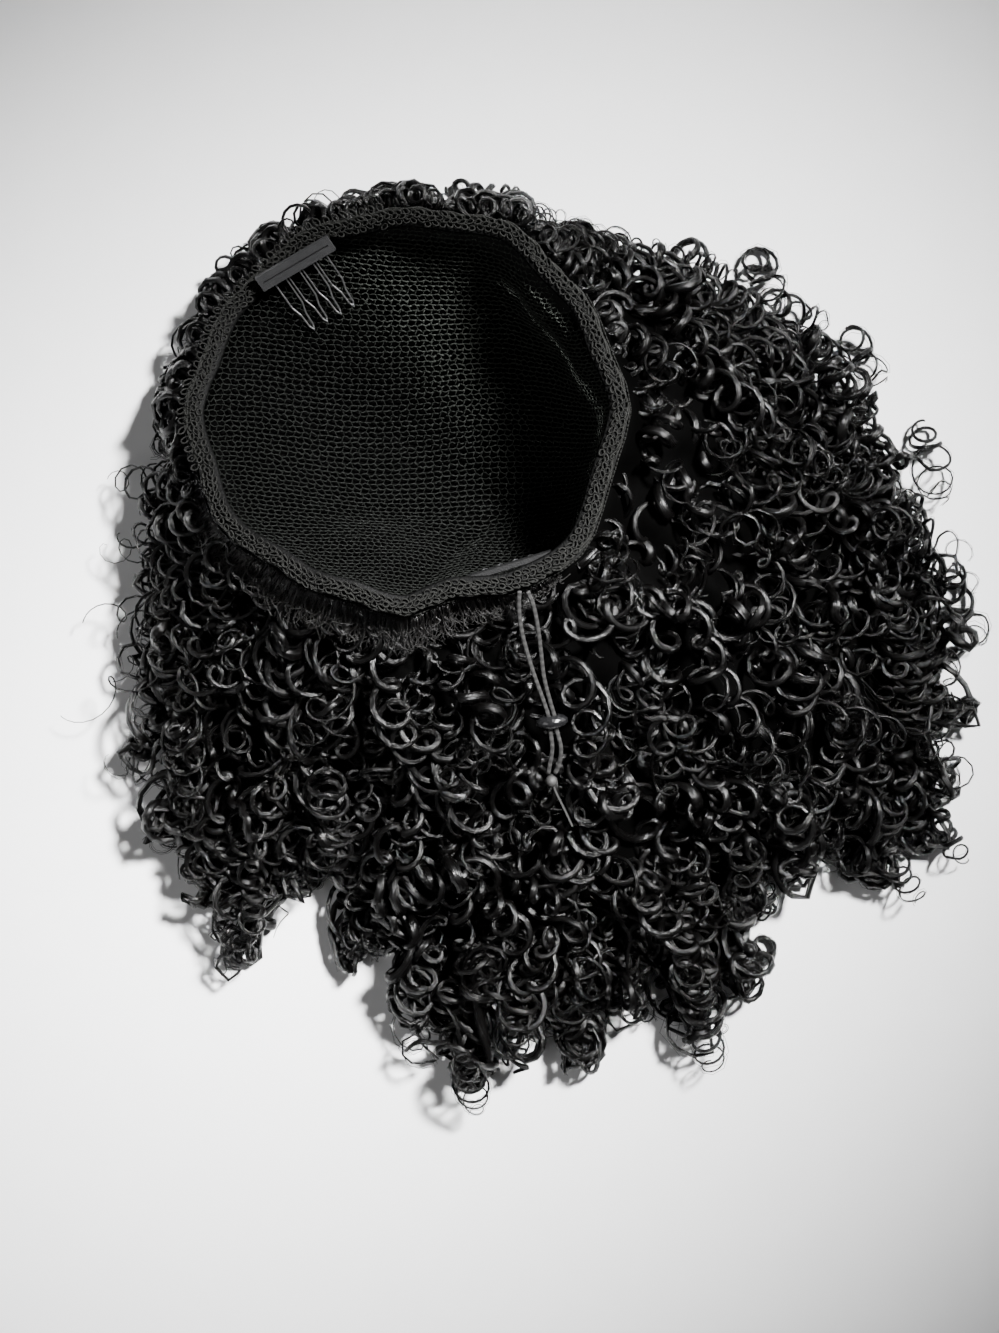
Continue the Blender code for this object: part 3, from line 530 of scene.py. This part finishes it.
def build_curls(layer):
    """One layer's locks, and the loose single hairs that wind along with them."""
    count = layer["count"]
    wobble = np.stack([random.uniform(low, high, (count, 1))
                       for low, high in ((1.0, 3.0), (0.8, 2.2), (0.0, math.tau))])
    axes = wall_axes(layer) if layer["kind"] == "wall" else curl_axes(layer)
    radius = CURL_RADIUS * random.uniform(0.70, 1.18, (count, 1))
    phase = random.uniform(0.0, math.tau, (count, 1))
    hand = random.choice((-1.0, 1.0), (count, 1))
    turns = layer["turns"]
    lean = np.radians(np.clip(random.normal(LOOP_LEAN, 14.0, (count, 1)), 15.0, 80.0))
    route, outward, share = wind(axes, radius, phase, hand, lean, wobble, turns, turns * layer["fine"])
    taper = np.clip(share * 6.0 + 0.45, 0.0, 1.0) * np.clip((1.0 - share) * 1.3 + 0.16, 0.0, 1.0)
    width = LOCK_WIDTH * layer["size"] * random.uniform(0.55, 1.35, (count, 1)) * taper
    ahead = unit(np.gradient(route, axis=1))
    locks = strand_mesh(f"curls_{layer['name']}", route, width, width * LOCK_FLATNESS, 5,
                        sides=np.cross(ahead, outward), lay_length=CURL_PITCH)
    made = [add_piece(locks, hair)]
    if layer["loose"]:
        again = np.tile(np.arange(count), layer["loose"])
        loose = radius[again] * random.uniform(0.75, 1.30, (len(again), 1))
        shift = phase[again] + random.normal(0.0, 0.40, (len(again), 1))
        hairs, _, _ = wind(axes[again], loose, shift, hand[again], lean[again], wobble[:, again], turns,
                           turns * LOOSE_FINE)
        thin = np.full(hairs.shape[:2], HAIR_WIDTH)
        made.append(add_piece(strand_mesh(f"loose_hairs_{layer['name']}", hairs, thin, thin, 3,
                                          lay_length=CURL_PITCH), hair))
    return made


def build_hair_core():
    """Inner mass of the pile: the solid's own form, drawn in under the curls, in a darker copy of the hair finish
    that is painted shade.
    """
    mesh = bpy.data.objects[HAIR_NODE].data.copy()
    mesh.name = "hair_inner_mass"
    mesh.materials.clear()
    shape = bmesh.new()
    shape.from_mesh(mesh)
    bmesh.ops.remove_doubles(shape, verts=shape.verts, dist=0.02 * MM)
    shape.to_mesh(mesh)
    shape.free()
    core = add_piece(mesh, deep_hair)
    remesh = core.modifiers.new("Even", "REMESH")
    remesh.mode = "VOXEL"
    remesh.voxel_size = CORE_VOXEL
    finished = bpy.data.meshes.new_from_object(core.evaluated_get(bpy.context.evaluated_depsgraph_get()))
    core.modifiers.clear()
    core.data = finished
    points = node_points(core.name)
    spread, rim, edge = spread_of(points)
    bearings, reaches = polar(points)
    drawn = np.clip(spread, 0.0, 1.0)
    reaches = reaches - CORE_INSET * drawn * np.minimum(1.0, (edge - rim) / (2.0 * CORE_INSET))
    away = np.clip(spread * (edge - rim) / CORE_EASE, 0.0, 1.0)
    points[:, 0] = reaches * np.cos(np.radians(bearings))
    points[:, 1] = reaches * np.sin(np.radians(bearings))
    points[:, 2] = np.maximum(points[:, 2] - CORE_LOWERING * away, 0.2 * MM)
    points = press_under_cords(points, 8.0 * MM)
    finished.vertices.foreach_set("co", points.reshape(-1))
    finished.update()
    finished.shade_smooth()
    return core


hair = hair_finish("black_curled_hair", (0.0002, 0.0002, 0.0002), (0.0007, 0.0006, 0.0006), 0.05, 0.22)
# The inner mass gets a darker, nearly unreflective copy of the hair finish: painted shade of the pile's depths.
deep_hair = hair_finish("deep_hair", (0.0001, 0.0001, 0.0001), (0.0003, 0.0003, 0.0003), 0.50, 0.01)
core = build_hair_core()
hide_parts(HAIR_NODE)
for layer in LAYERS:
    for piece in build_curls(layer):
        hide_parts(HAIR_NODE)

# Net cap: a bowl of fine stretch net, knitted in level rows that thin threads join. It was cut flat and
# gathered onto the drawstring, so the same flat pattern is laid here over the bowl's inner face.
NET_ROW_PITCH = 2.05 * MM
NET_STEP = 1.05 * MM
NET_ROW_WIDTH = 0.80 * MM
NET_LINK_WIDTH = 0.38 * MM
NET_THICKNESS = 0.45 * MM
NET_DRIFT = 1.7 * MM
NET_DRIFT_LENGTH = 17.0 * MM
NET_WAYS = 144
NET_RINGS = 80
SIGHT_POINT = Vector((10.0, -12.0, 66.0)) * MM
# Painted light over the flap at the upper right inside the cap: how far it spreads and how much lighter it makes
# the thread.
PAINTED_LIGHT_WITHIN = 75.0 * MM
PAINTED_LIGHT_GAIN = 8.0


def net_finish(name, dark, light, flap_painted_light=0.0):
    """Matte thread, with painted light that makes it lighter towards the upper right, over the flap, by the share
    that the last argument gives.
    """
    finish = Finish(name, specular_ior_level=0.06)
    fuzz = finish.noise(finish.in_space(1.0), 1100.0, detail=3.0)
    patches = finish.noise(finish.in_space(1.0), 22.0, detail=2.0)
    tinted = (dark[0] * 1.5, dark[1] * 1.7, dark[2] * 1.3, 1.0)
    shade = finish.mix(patches, (*dark, 1.0), tinted)
    across = finish.node("ShaderNodeSeparateXYZ", {}, {0: finish.in_space(1.0)}, output=0)
    along = finish.node("ShaderNodeSeparateXYZ", {}, {0: finish.in_space(1.0)}, output=1)
    # Painted light: a smooth rise along x plus y lightens the thread towards the flap at the upper right.
    painted_light_share = finish.node("ShaderNodeMapRange", {"interpolation_type": "SMOOTHSTEP"},
                          {"Value": across + along, "From Min": 0.0, "From Max": PAINTED_LIGHT_WITHIN})
    painted_light_tone = [tone * PAINTED_LIGHT_GAIN for tone in light]
    lit = finish.mix(painted_light_share * flap_painted_light, (*light, 1.0), (*painted_light_tone, 1.0))
    finish.set("Base Color", finish.mix(fuzz, shade, lit))
    finish.set("Roughness", fuzz * 0.3 + 0.45)
    finish.bump(fuzz, 0.0004)
    return finish.material


def net_table():
    """Points of the bowl's inner face by bearing and by length of net from the pocket."""
    surface = node_surface("net_cap")
    rows, lengths = [], []
    for way in range(NET_WAYS):
        turn = math.tau * way / NET_WAYS
        row = []
        for tilt in np.linspace(0.0, 1.0, NET_RINGS):
            lift = math.radians(-90.0 + 98.0 * tilt)
            sight = Vector((math.cos(turn) * math.cos(lift), math.sin(turn) * math.cos(lift), math.sin(lift)))
            hit = surface.ray_cast(SIGHT_POINT, sight)[0]
            if hit is None:
                break
            row.append(hit - sight * NET_THICKNESS)
        lengths.append(np.cumsum([0.0] + [(b - a).length for a, b in zip(row, row[1:])]))
        rows.append(np.array(row))
    longest = max(run[-1] for run in lengths)
    wanted = np.linspace(0.0, longest, NET_RINGS * 2)
    table = np.full((NET_WAYS, len(wanted), 3), np.nan)
    for way, (row, run) in enumerate(zip(rows, lengths)):
        for column in range(3):
            table[way, :, column] = np.interp(wanted, run, row[:, column], right=np.nan)
    return table, longest


def on_bowl(flat, table, longest):
    """Places on the bowl of points of the flat pattern, not a number past its edge."""
    reach = np.hypot(flat[..., 0], flat[..., 1])
    way = (np.arctan2(flat[..., 1], flat[..., 0]) % math.tau) / math.tau * NET_WAYS
    ring = reach / longest * (table.shape[1] - 1)
    low_way = np.floor(way).astype(int) % NET_WAYS
    high_way = (low_way + 1) % NET_WAYS
    low_ring = np.clip(np.floor(ring).astype(int), 0, table.shape[1] - 2)
    way_share = (way % 1.0)[..., None]
    ring_share = np.clip(ring - low_ring, 0.0, 1.0)[..., None]
    near = table[low_way, low_ring] * (1 - ring_share) + table[low_way, low_ring + 1] * ring_share
    far = table[high_way, low_ring] * (1 - ring_share) + table[high_way, low_ring + 1] * ring_share
    place = near * (1 - way_share) + far * way_share
    place[ring > table.shape[1] - 1] = np.nan
    return place


def thread_pieces(lines, span):
    """Runs of points that lie on the bowl, cut into equal lengths of thread."""
    pieces = []
    for line in lines:
        good = ~np.isnan(line[:, 0])
        start = None
        for index in range(len(line) + 1):
            if index < len(line) and good[index]:
                start = index if start is None else start
            elif start is not None:
                pieces += [line[at:at + span + 1] for at in range(start, index - span, span)]
                start = None
    return np.array(pieces)


def build_net():
    table, longest = net_table()
    across = np.arange(-longest, longest, NET_STEP)
    drift = NET_DRIFT * np.sin(across / NET_DRIFT_LENGTH)
    lines, links = [], []
    for number, row in enumerate(np.arange(-longest, longest, NET_ROW_PITCH)):
        beat = (-1) ** number
        level = row + drift + beat * 0.13 * NET_ROW_PITCH * np.sin(across * math.tau / (NET_STEP * 3))
        level += random.normal(0.0, 0.11, len(across)) * NET_ROW_PITCH
        lines.append(on_bowl(np.stack([across, level], axis=-1), table, longest))
        spots = np.arange(-longest, longest, NET_STEP * 3) + (number % 2) * NET_STEP * 1.5
        rise = np.linspace(0.0, 1.0, 3)
        base = row + NET_DRIFT * np.sin(spots / NET_DRIFT_LENGTH)
        ladder = np.stack([spots[:, None] + NET_STEP * 0.8 * beat * rise, base[:, None] + NET_ROW_PITCH * rise],
                          axis=-1)
        links.append(on_bowl(ladder, table, longest))
    threads = thread_pieces(lines, 3)
    ladders = np.concatenate(links)
    ladders = ladders[~np.isnan(ladders).any(axis=(1, 2))]
    made = []
    for name, routes, width in (("net_rows", threads, NET_ROW_WIDTH), ("net_links", ladders, NET_LINK_WIDTH)):
        widths = width * random.uniform(0.75, 1.2, (len(routes), 1)) * np.ones(routes.shape[:2])
        made.append(add_piece(strand_mesh(name, routes, widths, widths * 0 + NET_THICKNESS, 3), net))
    return made


# The cap's net takes the full painted light over the flap.
net = net_finish("knitted_net", (0.0007, 0.0008, 0.0007), (0.0080, 0.0087, 0.0077), flap_painted_light=1.0)
for piece in build_net():
    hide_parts("net_cap")

# Hem: the net's edge turned over and chain-stitched into a casing for the drawstring, in rows of open
# loops with a corded outer edge. Where it lies low, at the crown end, its outer loops are a lacy fringe.
HEM_LOOP_PITCH = 3.0 * MM
HEM_THREAD = 0.60 * MM
HEM_STEPS = 48
HEM_BAND_POINTS = 240
HEM_CORD = 0.85 * MM
HEM_CORD_POINTS = 300
HEM_ROWS = (
    {"across": 0.66, "length": 0.27, "lean": 0.45, "above": 0.9},
    {"across": 0.20, "length": 0.27, "lean": -0.50, "above": 1.2},
    {"across": -0.26, "length": 0.27, "lean": 0.50, "above": 1.0},
)
LACE_FROM = 98.0
LACE_TO = 196.0
LACE_PITCH = 3.4 * MM
LACE_DEPTH = 2.6 * MM


def ring_sections(name, steps):
    """Middle, outward direction and half width of a ring-shaped node at even bearings."""
    points = np.unique(np.round(node_points(name), 7), axis=0)
    bearings, _ = polar(points)
    middles, outwards, halves = [], [], []
    for step in range(steps):
        near = points[np.abs((bearings - 360.0 * step / steps + 180.0) % 360.0 - 180.0) < 0.5]
        reaches = np.hypot(near[:, 0], near[:, 1])
        inner, outer = near[np.argmin(reaches)], near[np.argmax(reaches)]
        middles.append((inner + outer) / 2)
        outwards.append(unit(outer - inner))
        halves.append(np.linalg.norm(outer - inner) / 2)
    return np.array(middles), np.array(outwards), np.array(halves)


def resample_ring(rows, count, offset=0.0):
    """A closed row of values on a smooth curve at an even count of places."""
    place = (np.arange(count) + offset) / count * len(rows) % len(rows)
    at = np.floor(place).astype(int)
    return between(*[rows[(at + shift) % len(rows)] for shift in (-1, 0, 1, 2)], (place - at)[:, None])


def stitch_ring(middles, outwards, half, count, across, length, lean, above, offset):
    """One round of open loops that lie along the hem, each leaning on the next."""
    middle = resample_ring(middles, count, offset)
    outward = unit(resample_ring(outwards, count, offset))
    along = unit(np.roll(middle, -1, axis=0) - np.roll(middle, 1, axis=0))
    up = np.cross(outward, along)
    up *= np.sign(up[:, 2:])
    turns = np.linspace(0.0, math.tau, 9)[:-1]
    jitter = random.normal(0.0, 0.26, (count, 1))
    reach = outward + along * (lean + jitter)
    base = middle + outward * half * (across + jitter * 0.35) + up * (above * MM)
    return (base[:, None] + reach[:, None] * (np.cos(turns) * half * length)[None, :, None]
            + along[:, None] * (np.sin(turns) * HEM_LOOP_PITCH * 0.40)[None, :, None]
            + up[:, None] * (np.cos(turns * 2) * 0.25 * MM)[None, :, None])


def build_hem():
    middles, outwards, halves = ring_sections("rim_casing", HEM_STEPS)
    middle = resample_ring(middles, HEM_BAND_POINTS)
    outward = unit(resample_ring(outwards, HEM_BAND_POINTS))
    half = float(np.mean(halves))
    sizes = np.ones((1, HEM_BAND_POINTS))
    # The casing band under the loops, in a darker finish that is painted shade.
    band = strand_mesh("hem_band", (middle - [0.0, 0.0, 0.5 * MM])[None], sizes * half * 1.80, sizes * 1.5 * MM, 10,
                       sides=outward[None], lay_length=HEM_LOOP_PITCH, closed=True)
    made = [add_piece(band, hem_inside)]
    girth = float(np.sum(np.linalg.norm(np.roll(middle, -1, axis=0) - middle, axis=1)))
    loops = round(girth / HEM_LOOP_PITCH)
    rounds = [stitch_ring(middles, outwards, half, loops, offset=0.5 * number, **row)
              for number, row in enumerate(HEM_ROWS)]
    routes = np.concatenate(rounds)
    sizes = HEM_THREAD * random.uniform(0.8, 1.25, (len(routes), 1)) * np.ones(routes.shape[:2])
    made.append(add_piece(strand_mesh("hem_loops", routes, sizes, sizes * 0.8, 4, closed=True), hem))
    edges = []
    for across, lift in ((0.99, -0.4), (0.86, 0.1)):
        line = resample_ring(middles + outwards * half * across, HEM_CORD_POINTS)
        line[:, 2] += lift * MM
        bearings, _ = polar(line)
        ripple = 0.35 * MM * np.sin(np.radians(bearings) * 41.0 + across * 9.0)
        edges.append(line + unit(resample_ring(outwards, HEM_CORD_POINTS)) * ripple[:, None])
    edges = np.array(edges)
    sizes = np.full(edges.shape[:2], HEM_CORD)
    made.append(add_piece(strand_mesh("hem_edge_cords", edges, sizes, sizes, 6, closed=True), hem))
    count = round(girth / LACE_PITCH)
    lace = stitch_ring(middles, outwards, half, count, across=1.0 + LACE_DEPTH * 0.5 / half,
                       length=LACE_DEPTH * 0.62 / half, lean=0.2, above=0.0, offset=0.3)
    bearings = polar(lace[:, 0])[0] % 360.0
    lace = lace[(bearings > LACE_FROM) & (bearings < LACE_TO)]
    sizes = np.full(lace.shape[:2], HEM_THREAD * 1.1)
    made.append(add_piece(strand_mesh("hem_lace", lace, sizes, sizes, 4, closed=True), hem))
    return made


hem = net_finish("chain_stitched_hem", (0.0010, 0.0010, 0.0009), (0.0165, 0.0165, 0.0155))
# The band under the loops gets a darker copy of the hem's finish: painted shade between the loops.
hem_inside = net_finish("hem_inside", (0.0005, 0.0005, 0.0005), (0.0020, 0.0020, 0.0020))
for piece in build_hem():
    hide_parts("rim_casing")

# Weft: the top row of hair is sewn along a narrow track round the outside of the cap, in two lines of
# stitches. Its root hairs hang straight for a finger's width before they start to curl.
WEFT_NODE = "weft_track"
TAPE_WIDTH = 2.6 * MM
TAPE_THICKNESS = 1.6 * MM
STITCH_PITCH = 1.6 * MM
STITCH_THREAD = 0.55 * MM
ROOT_HAIRS = 900
ROOT_FROM = 188.0
ROOT_TO = 312.0
ROOT_WIDTH = 0.36 * MM
ROOT_POINTS = 10
ROOT_LENGTH = 12.0 * MM


def weft_line():
    """The outer edge of the track, from one end round the tail to the other."""
    points = np.unique(np.round(node_points(WEFT_NODE), 7), axis=0)
    bearings, reaches = polar(points)
    bearings = np.where(bearings < 90.0, bearings + 360.0, bearings)
    edges = []
    for bearing in np.unique(np.round(bearings, 1)):
        near = np.abs(bearings - bearing) < 0.3
        outer = points[near][np.argsort(reaches[near])[-2:]]
        edges.append([bearing, *outer.mean(0)])
    edges = np.array(edges)
    way = np.linspace(edges[0, 0], edges[-1, 0], 260)
    return np.stack([np.interp(way, edges[:, 0], edges[:, column]) for column in (1, 2, 3)], axis=1)


def build_weft():
    line = weft_line()
    outward = unit(line * (1.0, 1.0, 0.0))
    tape = (line - outward * 1.2 * MM)[None]
    sizes = np.ones(tape.shape[:2])
    flat = strand_mesh("weft_tape", tape, sizes * TAPE_WIDTH, sizes * TAPE_THICKNESS, 8, sides=outward[None],
                       lay_length=STITCH_PITCH)
    made = [add_piece(flat, weft)]
    stitches = []
    for across in (-1.9 * MM, -0.3 * MM):
        seam = line + outward * across + (0.0, 0.0, 1.05 * MM)
        run = np.concatenate([[0.0], np.cumsum(np.linalg.norm(np.diff(seam, axis=0), axis=1))])
        count = round(run[-1] / STITCH_PITCH)
        spots = (np.arange(count)[:, None] + np.linspace(0.08, 0.92, 5)) * STITCH_PITCH
        stitch = np.stack([np.interp(spots, run, seam[:, column]) for column in range(3)], axis=-1)
        stitch[..., 2] += np.sin(np.linspace(0.0, math.pi, 5)) * 0.35 * MM
        stitches.append(stitch)
    stitches = np.concatenate(stitches)
    sizes = np.full(stitches.shape[:2], STITCH_THREAD)
    made.append(add_piece(strand_mesh("weft_stitches", stitches, sizes, sizes, 4), hem))
    bearings = polar(line)[0] % 360.0
    rooted = line[(bearings > ROOT_FROM) & (bearings < ROOT_TO)]
    starts = rooted[random.integers(0, len(rooted), ROOT_HAIRS)] + random.normal(0.0, 0.5, (ROOT_HAIRS, 3)) * MM
    run = np.linspace(0.0, 1.0, ROOT_POINTS)[None]
    away = unit(starts * (1.0, 1.0, 0.0))
    slant = np.radians(random.normal(0.0, 13.0, (ROOT_HAIRS, 1))) * run
    place = (polar(starts)[0] % 360.0 - ROOT_FROM) / (ROOT_TO - ROOT_FROM)
    fade = np.sin(np.clip(place, 0.03, 0.97) * math.pi)[:, None] ** 0.6
    length = ROOT_LENGTH * fade * random.uniform(0.5, 1.3, (ROOT_HAIRS, 1))
    ahead = turned(np.repeat(away[:, None, :2], ROOT_POINTS, axis=1), slant)
    flat_way = starts[:, None, :2] + ahead * (length * run)[..., None]
    waves = run * random.uniform(5.0, 10.0, (ROOT_HAIRS, 1))
    waves = np.sin(waves + random.uniform(0, math.tau, (ROOT_HAIRS, 1)))
    aside = np.stack([-ahead[..., 1], ahead[..., 0]], axis=-1)
    flat_way = flat_way + aside * (waves * run ** 1.6 * random.uniform(0.5, 3.6, (ROOT_HAIRS, 1)) * MM)[..., None]
    ground = hair_heights.at(flat_way) + random.uniform(0.5, 4.5, (ROOT_HAIRS, 1)) * MM
    blend = np.clip(run * 2.6, 0.0, 1.0)
    height = starts[:, None, 2] * (1.0 - blend) + np.maximum(ground, 2.0 * MM) * blend
    hairs = np.concatenate([flat_way, height[..., None]], axis=-1)
    for _ in range(2):
        hairs[:, 1:-1, 2] = (hairs[:, :-2, 2] + hairs[:, 1:-1, 2] * 2 + hairs[:, 2:, 2]) / 4
    hairs = press_under_cords(hairs, 1.4 * MM)
    sizes = ROOT_WIDTH * random.uniform(0.5, 1.3, (ROOT_HAIRS, 1)) * np.ones(hairs.shape[:2])
    made.append(add_piece(strand_mesh("root_hairs", hairs, sizes, sizes, 3, lay_length=8.0 * MM), root_hair))
    return made


weft = net_finish("weft_tape", (0.0008, 0.0008, 0.0008), (0.0050, 0.0050, 0.0048))
root_hair = hair_finish("root_hair", (0.0015, 0.0015, 0.0015), (0.0120, 0.0112, 0.0105), 0.16, 0.45)
for piece in build_weft():
    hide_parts(WEFT_NODE)

# Combs: each is a strip of dark grey tape folded over the bar of one bent steel wire, with a crease along
# its middle. The wire makes four looped teeth that narrow to rounded tips.
WIRE_NODES = ("comb_upper_wire", "comb_lower_wire")
BAR_NODES = ("comb_upper_bar", "comb_lower_bar")


def strip_finish(name, tone):
    finish = Finish(name, specular_ior_level=0.12)
    weave = finish.noise(finish.in_space(1.0), 2400.0, detail=2.0)
    wear = finish.noise(finish.in_space(1.0), 180.0, detail=3.0)
    shade = finish.mix(wear, (tone * 0.5, tone * 0.5, tone * 0.52, 1.0), (tone, tone, tone * 1.03, 1.0))
    finish.set("Base Color", finish.mix(weave * 0.5, shade, (tone * 1.6, tone * 1.6, tone * 1.65, 1.0)))
    finish.set("Roughness", weave * 0.25 + 0.5)
    finish.bump(weave * 0.4 + wear * 0.6, 0.0005)
    return finish.material


def wire_finish():
    finish = Finish("steel_wire", metallic=1.0)
    marks = finish.noise(finish.in_space(1.0), 1500.0, detail=3.0)
    finish.set("Base Color", finish.mix(marks, (0.34, 0.34, 0.35, 1.0), (0.62, 0.62, 0.63, 1.0)))
    finish.set("Roughness", marks * 0.25 + 0.22)
    finish.bump(marks, 0.0002, 0.4)
    return finish.material


def dress(name, material):
    """Give a piece that is kept as the part has it its own material."""
    for slot in bpy.data.objects[name].material_slots:
        slot.material = material


wire = wire_finish()
# The lower comb's bar gets a darker copy of the strip's finish, which is painted shade. The upper bar keeps the
# plain one.
strips = (strip_finish("folded_strip", 0.018), strip_finish("folded_strip_edge", 0.0055))
for name, material in (*zip(BAR_NODES, strips), *((name, wire) for name in WIRE_NODES)):
    dress(name, material)

# Bead and knot: a flattened glossy bead slides on both runs of the elastic, and below it they are tied in
# one knot with a thin tail.


def bead_finish():
    finish = Finish("moulded_bead", specular_ior_level=0.6)
    scuffs = finish.noise(finish.in_space(1.0), 700.0, detail=4.0)
    finish.set("Base Color", finish.mix(scuffs, (0.0022, 0.0022, 0.0024, 1.0), (0.008, 0.008, 0.0085, 1.0)))
    finish.set("Roughness", scuffs * 0.16 + 0.14)
    finish.bump(scuffs, 0.0001, 0.3)
    return finish.material


dress("cord_bead", bead_finish())
dress("cord_knot", elastic)

# Floor and light: a pale surface under one small strong lamp at the upper right, whose pool of light fades
# towards the corners. One window at the lower left and a dim room, darker overhead, light the rest.
FLOOR_SIZE = 6.0
LAMP_AIM = Vector((-12.0, -118.0, 0.0)) * MM
LAMP_AWAY = Vector((0.92, 0.80, 1.56))
LAMP_RADIUS = 0.19
LAMP_POWER = 2300.0
LAMP_CONE = math.radians(14.0)
WINDOW_AWAY = Vector((-1.30, -0.55, 1.70))
WINDOW_SIZE = 1.1
WINDOW_POWER = 10.0
ROOM_LIGHT = 0.08

floor_shape = bmesh.new()
bmesh.ops.create_grid(floor_shape, x_segments=1, y_segments=1, size=FLOOR_SIZE / 2)
floor_mesh = bpy.data.meshes.new("floor")
floor_shape.to_mesh(floor_mesh)
floor_shape.free()
floor = bpy.data.objects.new("floor", floor_mesh)
bpy.context.scene.collection.objects.link(floor)
paper = Finish("pale_paper", roughness=0.85)
grain = paper.noise(paper.in_space(1.0), 60.0)
paper.set("Base Color", paper.mix(grain, (0.80, 0.80, 0.805, 1.0), (0.84, 0.84, 0.845, 1.0)))
floor_mesh.materials.append(paper.material)


def add_light(name, kind, away, power, **settings):
    """A light that stands away from the aiming point and shines back on it."""
    data = bpy.data.lights.new(name, kind)
    data.energy = power
    for key, value in settings.items():
        setattr(data, key, value)
    light = bpy.data.objects.new(name, data)
    light.location = LAMP_AIM + away
    light.rotation_euler = (-away).to_track_quat("-Z", "Y").to_euler()
    bpy.context.scene.collection.objects.link(light)


add_light("lamp", "SPOT", LAMP_AWAY, LAMP_POWER, shadow_soft_size=LAMP_RADIUS, spot_size=LAMP_CONE, spot_blend=1.0)
add_light("window", "AREA", WINDOW_AWAY, WINDOW_POWER, size=WINDOW_SIZE)
room = bpy.data.worlds.new("dim_room")
room.use_nodes = True
sky = room.node_tree
facing = sky.nodes.new("ShaderNodeTexCoord")
split = sky.nodes.new("ShaderNodeSeparateXYZ")
ramp = sky.nodes.new("ShaderNodeValToRGB")
ramp.color_ramp.elements[0].position = 0.45
ramp.color_ramp.elements[0].color = (1.0, 1.0, 1.0, 1.0)
ramp.color_ramp.elements[1].position = 0.88
ramp.color_ramp.elements[1].color = (0.05, 0.05, 0.05, 1.0)
sky.links.new(facing.outputs["Generated"], split.inputs[0])
sky.links.new(split.outputs["Z"], ramp.inputs["Fac"])
sky.links.new(ramp.outputs["Color"], sky.nodes["Background"].inputs["Color"])
sky.nodes["Background"].inputs["Strength"].default_value = ROOM_LIGHT
bpy.context.scene.world = room
